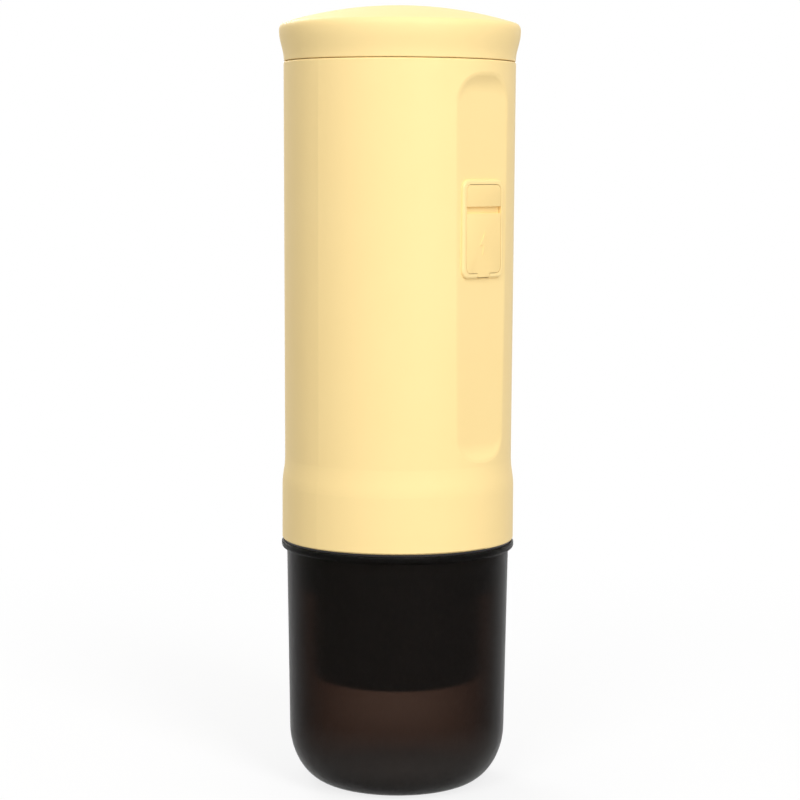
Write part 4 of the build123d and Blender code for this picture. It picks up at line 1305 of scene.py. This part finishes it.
@dataclass(frozen=True)
class Studio:
    """A white table under soft light, as in the photograph.

    Attributes:
        floor_size: the table's side.
        floor_seen: its colour where the camera sees it.
        floor_bounce: its colour in the light that it throws back.
        floor_glow: the share of plain white in what is seen of it near the object.
        shadow_near: the distance from the axis up to which that share holds.
        shadow_far: the distance from which all is plain white.
        surround: the strength of the light from all round.
        softboxes: the lamps.
    """

    floor_size: float = 2.8
    floor_seen: str = "#F4F4F4"
    floor_bounce: str = "#BCBCBC"
    floor_glow: float = 0.8
    shadow_near: float = 0.1
    shadow_far: float = 0.4
    surround: float = 0.39
    softboxes: tuple[Softbox, ...] = (
        Softbox("right_softbox", bearing_deg=70, height=0.95, distance=1.35, width=0.45, tall=1.6, power=16),
        Softbox("left_softbox", bearing_deg=23, height=1.15, distance=1.35, width=0.6, tall=0.6, power=8),
        Softbox("top_softbox", bearing_deg=230, height=1.6, distance=0.3, width=0.8, tall=0.8, power=2.5),
        Softbox("rear_softbox", bearing_deg=250, height=0.95, distance=1.45, width=0.7, tall=0.7, power=10),
    )

    def build(self) -> None:
        """Lay the floor, light the set and choose the plain view."""
        low, high = CAD_BOX
        for softbox in self.softboxes:
            softbox.build((low + high) / 2)
        self.lay_floor(low.z)
        self.light_surround()
        bpy.context.scene.view_settings.view_transform = "Standard"

    def seen(self, tree: Tree) -> Socket:
        """Tell what the camera sees, also in gloss and through clear walls, from what only gives light.

        Args:
            tree: the nodes to add to.

        Returns:
            An output that is one for what the camera sees.
        """
        path = add_node(tree, "LightPath").outputs
        most = path["Is Camera Ray"]
        for ray in ("Is Glossy Ray", "Is Transmission Ray"):
            most = add_node(tree, "Math", {0: most, 1: path[ray]}, operation="MAXIMUM").outputs[0]
        return most

    def lay_floor(self, height: float) -> None:
        """Lay a pale floor that shows white to the camera and still takes the object's shadow.

        Args:
            height: the floor's height.
        """
        deselect()
        bpy.ops.mesh.primitive_plane_add(size=self.floor_size, location=(0, 0, height))
        floor = settle_primitive("studio_floor")
        paper = bpy.data.materials.new("paper_matt_white")
        paper.use_nodes = True
        tree = paper.node_tree
        tree.nodes.clear()
        seen = self.seen(tree)
        shades = {"Factor": seen, "A": linear(self.floor_bounce), "B": linear(self.floor_seen)}
        shade = add_node(tree, "Mix", shades, data_type="RGBA")
        matt = add_node(tree, "BsdfDiffuse", {"Color": shade.outputs["Result"]})
        white = add_node(tree, "Emission", {"Color": linear(WHITE), "Strength": 1.0})
        place = add_node(tree, "TexCoord").outputs["Object"]
        reach = add_node(tree, "VectorMath", {0: place}, operation="LENGTH")
        spread = {
            "Value": reach.outputs["Value"],
            "From Min": self.shadow_near,
            "From Max": self.shadow_far,
            "To Min": self.floor_glow,
        }
        glow = add_node(tree, "MapRange", spread)
        share = add_node(tree, "Math", {0: seen, 1: glow.outputs[0]}, operation="MULTIPLY")
        mix = add_node(tree, "MixShader", {0: share.outputs[0], 1: matt.outputs[0], 2: white.outputs[0]})
        add_node(tree, "OutputMaterial", {"Surface": mix.outputs[0]})
        floor.data.materials.append(paper)

    def light_surround(self) -> None:
        """Light the object softly from all round, with plain white behind it."""
        world = bpy.data.worlds.new("white_surround")
        bpy.context.scene.world = world
        world.use_nodes = True
        tree = world.node_tree
        tree.nodes.clear()
        soft = add_node(tree, "Background", {"Color": linear(WHITE), "Strength": self.surround})
        white = add_node(tree, "Background", {"Color": linear(WHITE), "Strength": 1.0})
        mix = add_node(tree, "MixShader", {0: self.seen(tree), 1: soft.outputs[0], 2: white.outputs[0]})
        add_node(tree, "OutputWorld", {"Surface": mix.outputs[0]})


def main() -> None:
    """Dress the CAD nodes, build the sub-assemblies in order and set up the studio."""
    logging.basicConfig(level=logging.INFO, format="%(name)s: %(message)s")
    PhotoCamera().build()
    dress_nodes()
    for assembly in (Lid(), BrewGroup(), PortCover(), Receptacle(), PowerButton(), Bay()):
        assembly.build()
    Studio().build()


if __name__ == "__main__":
    main()
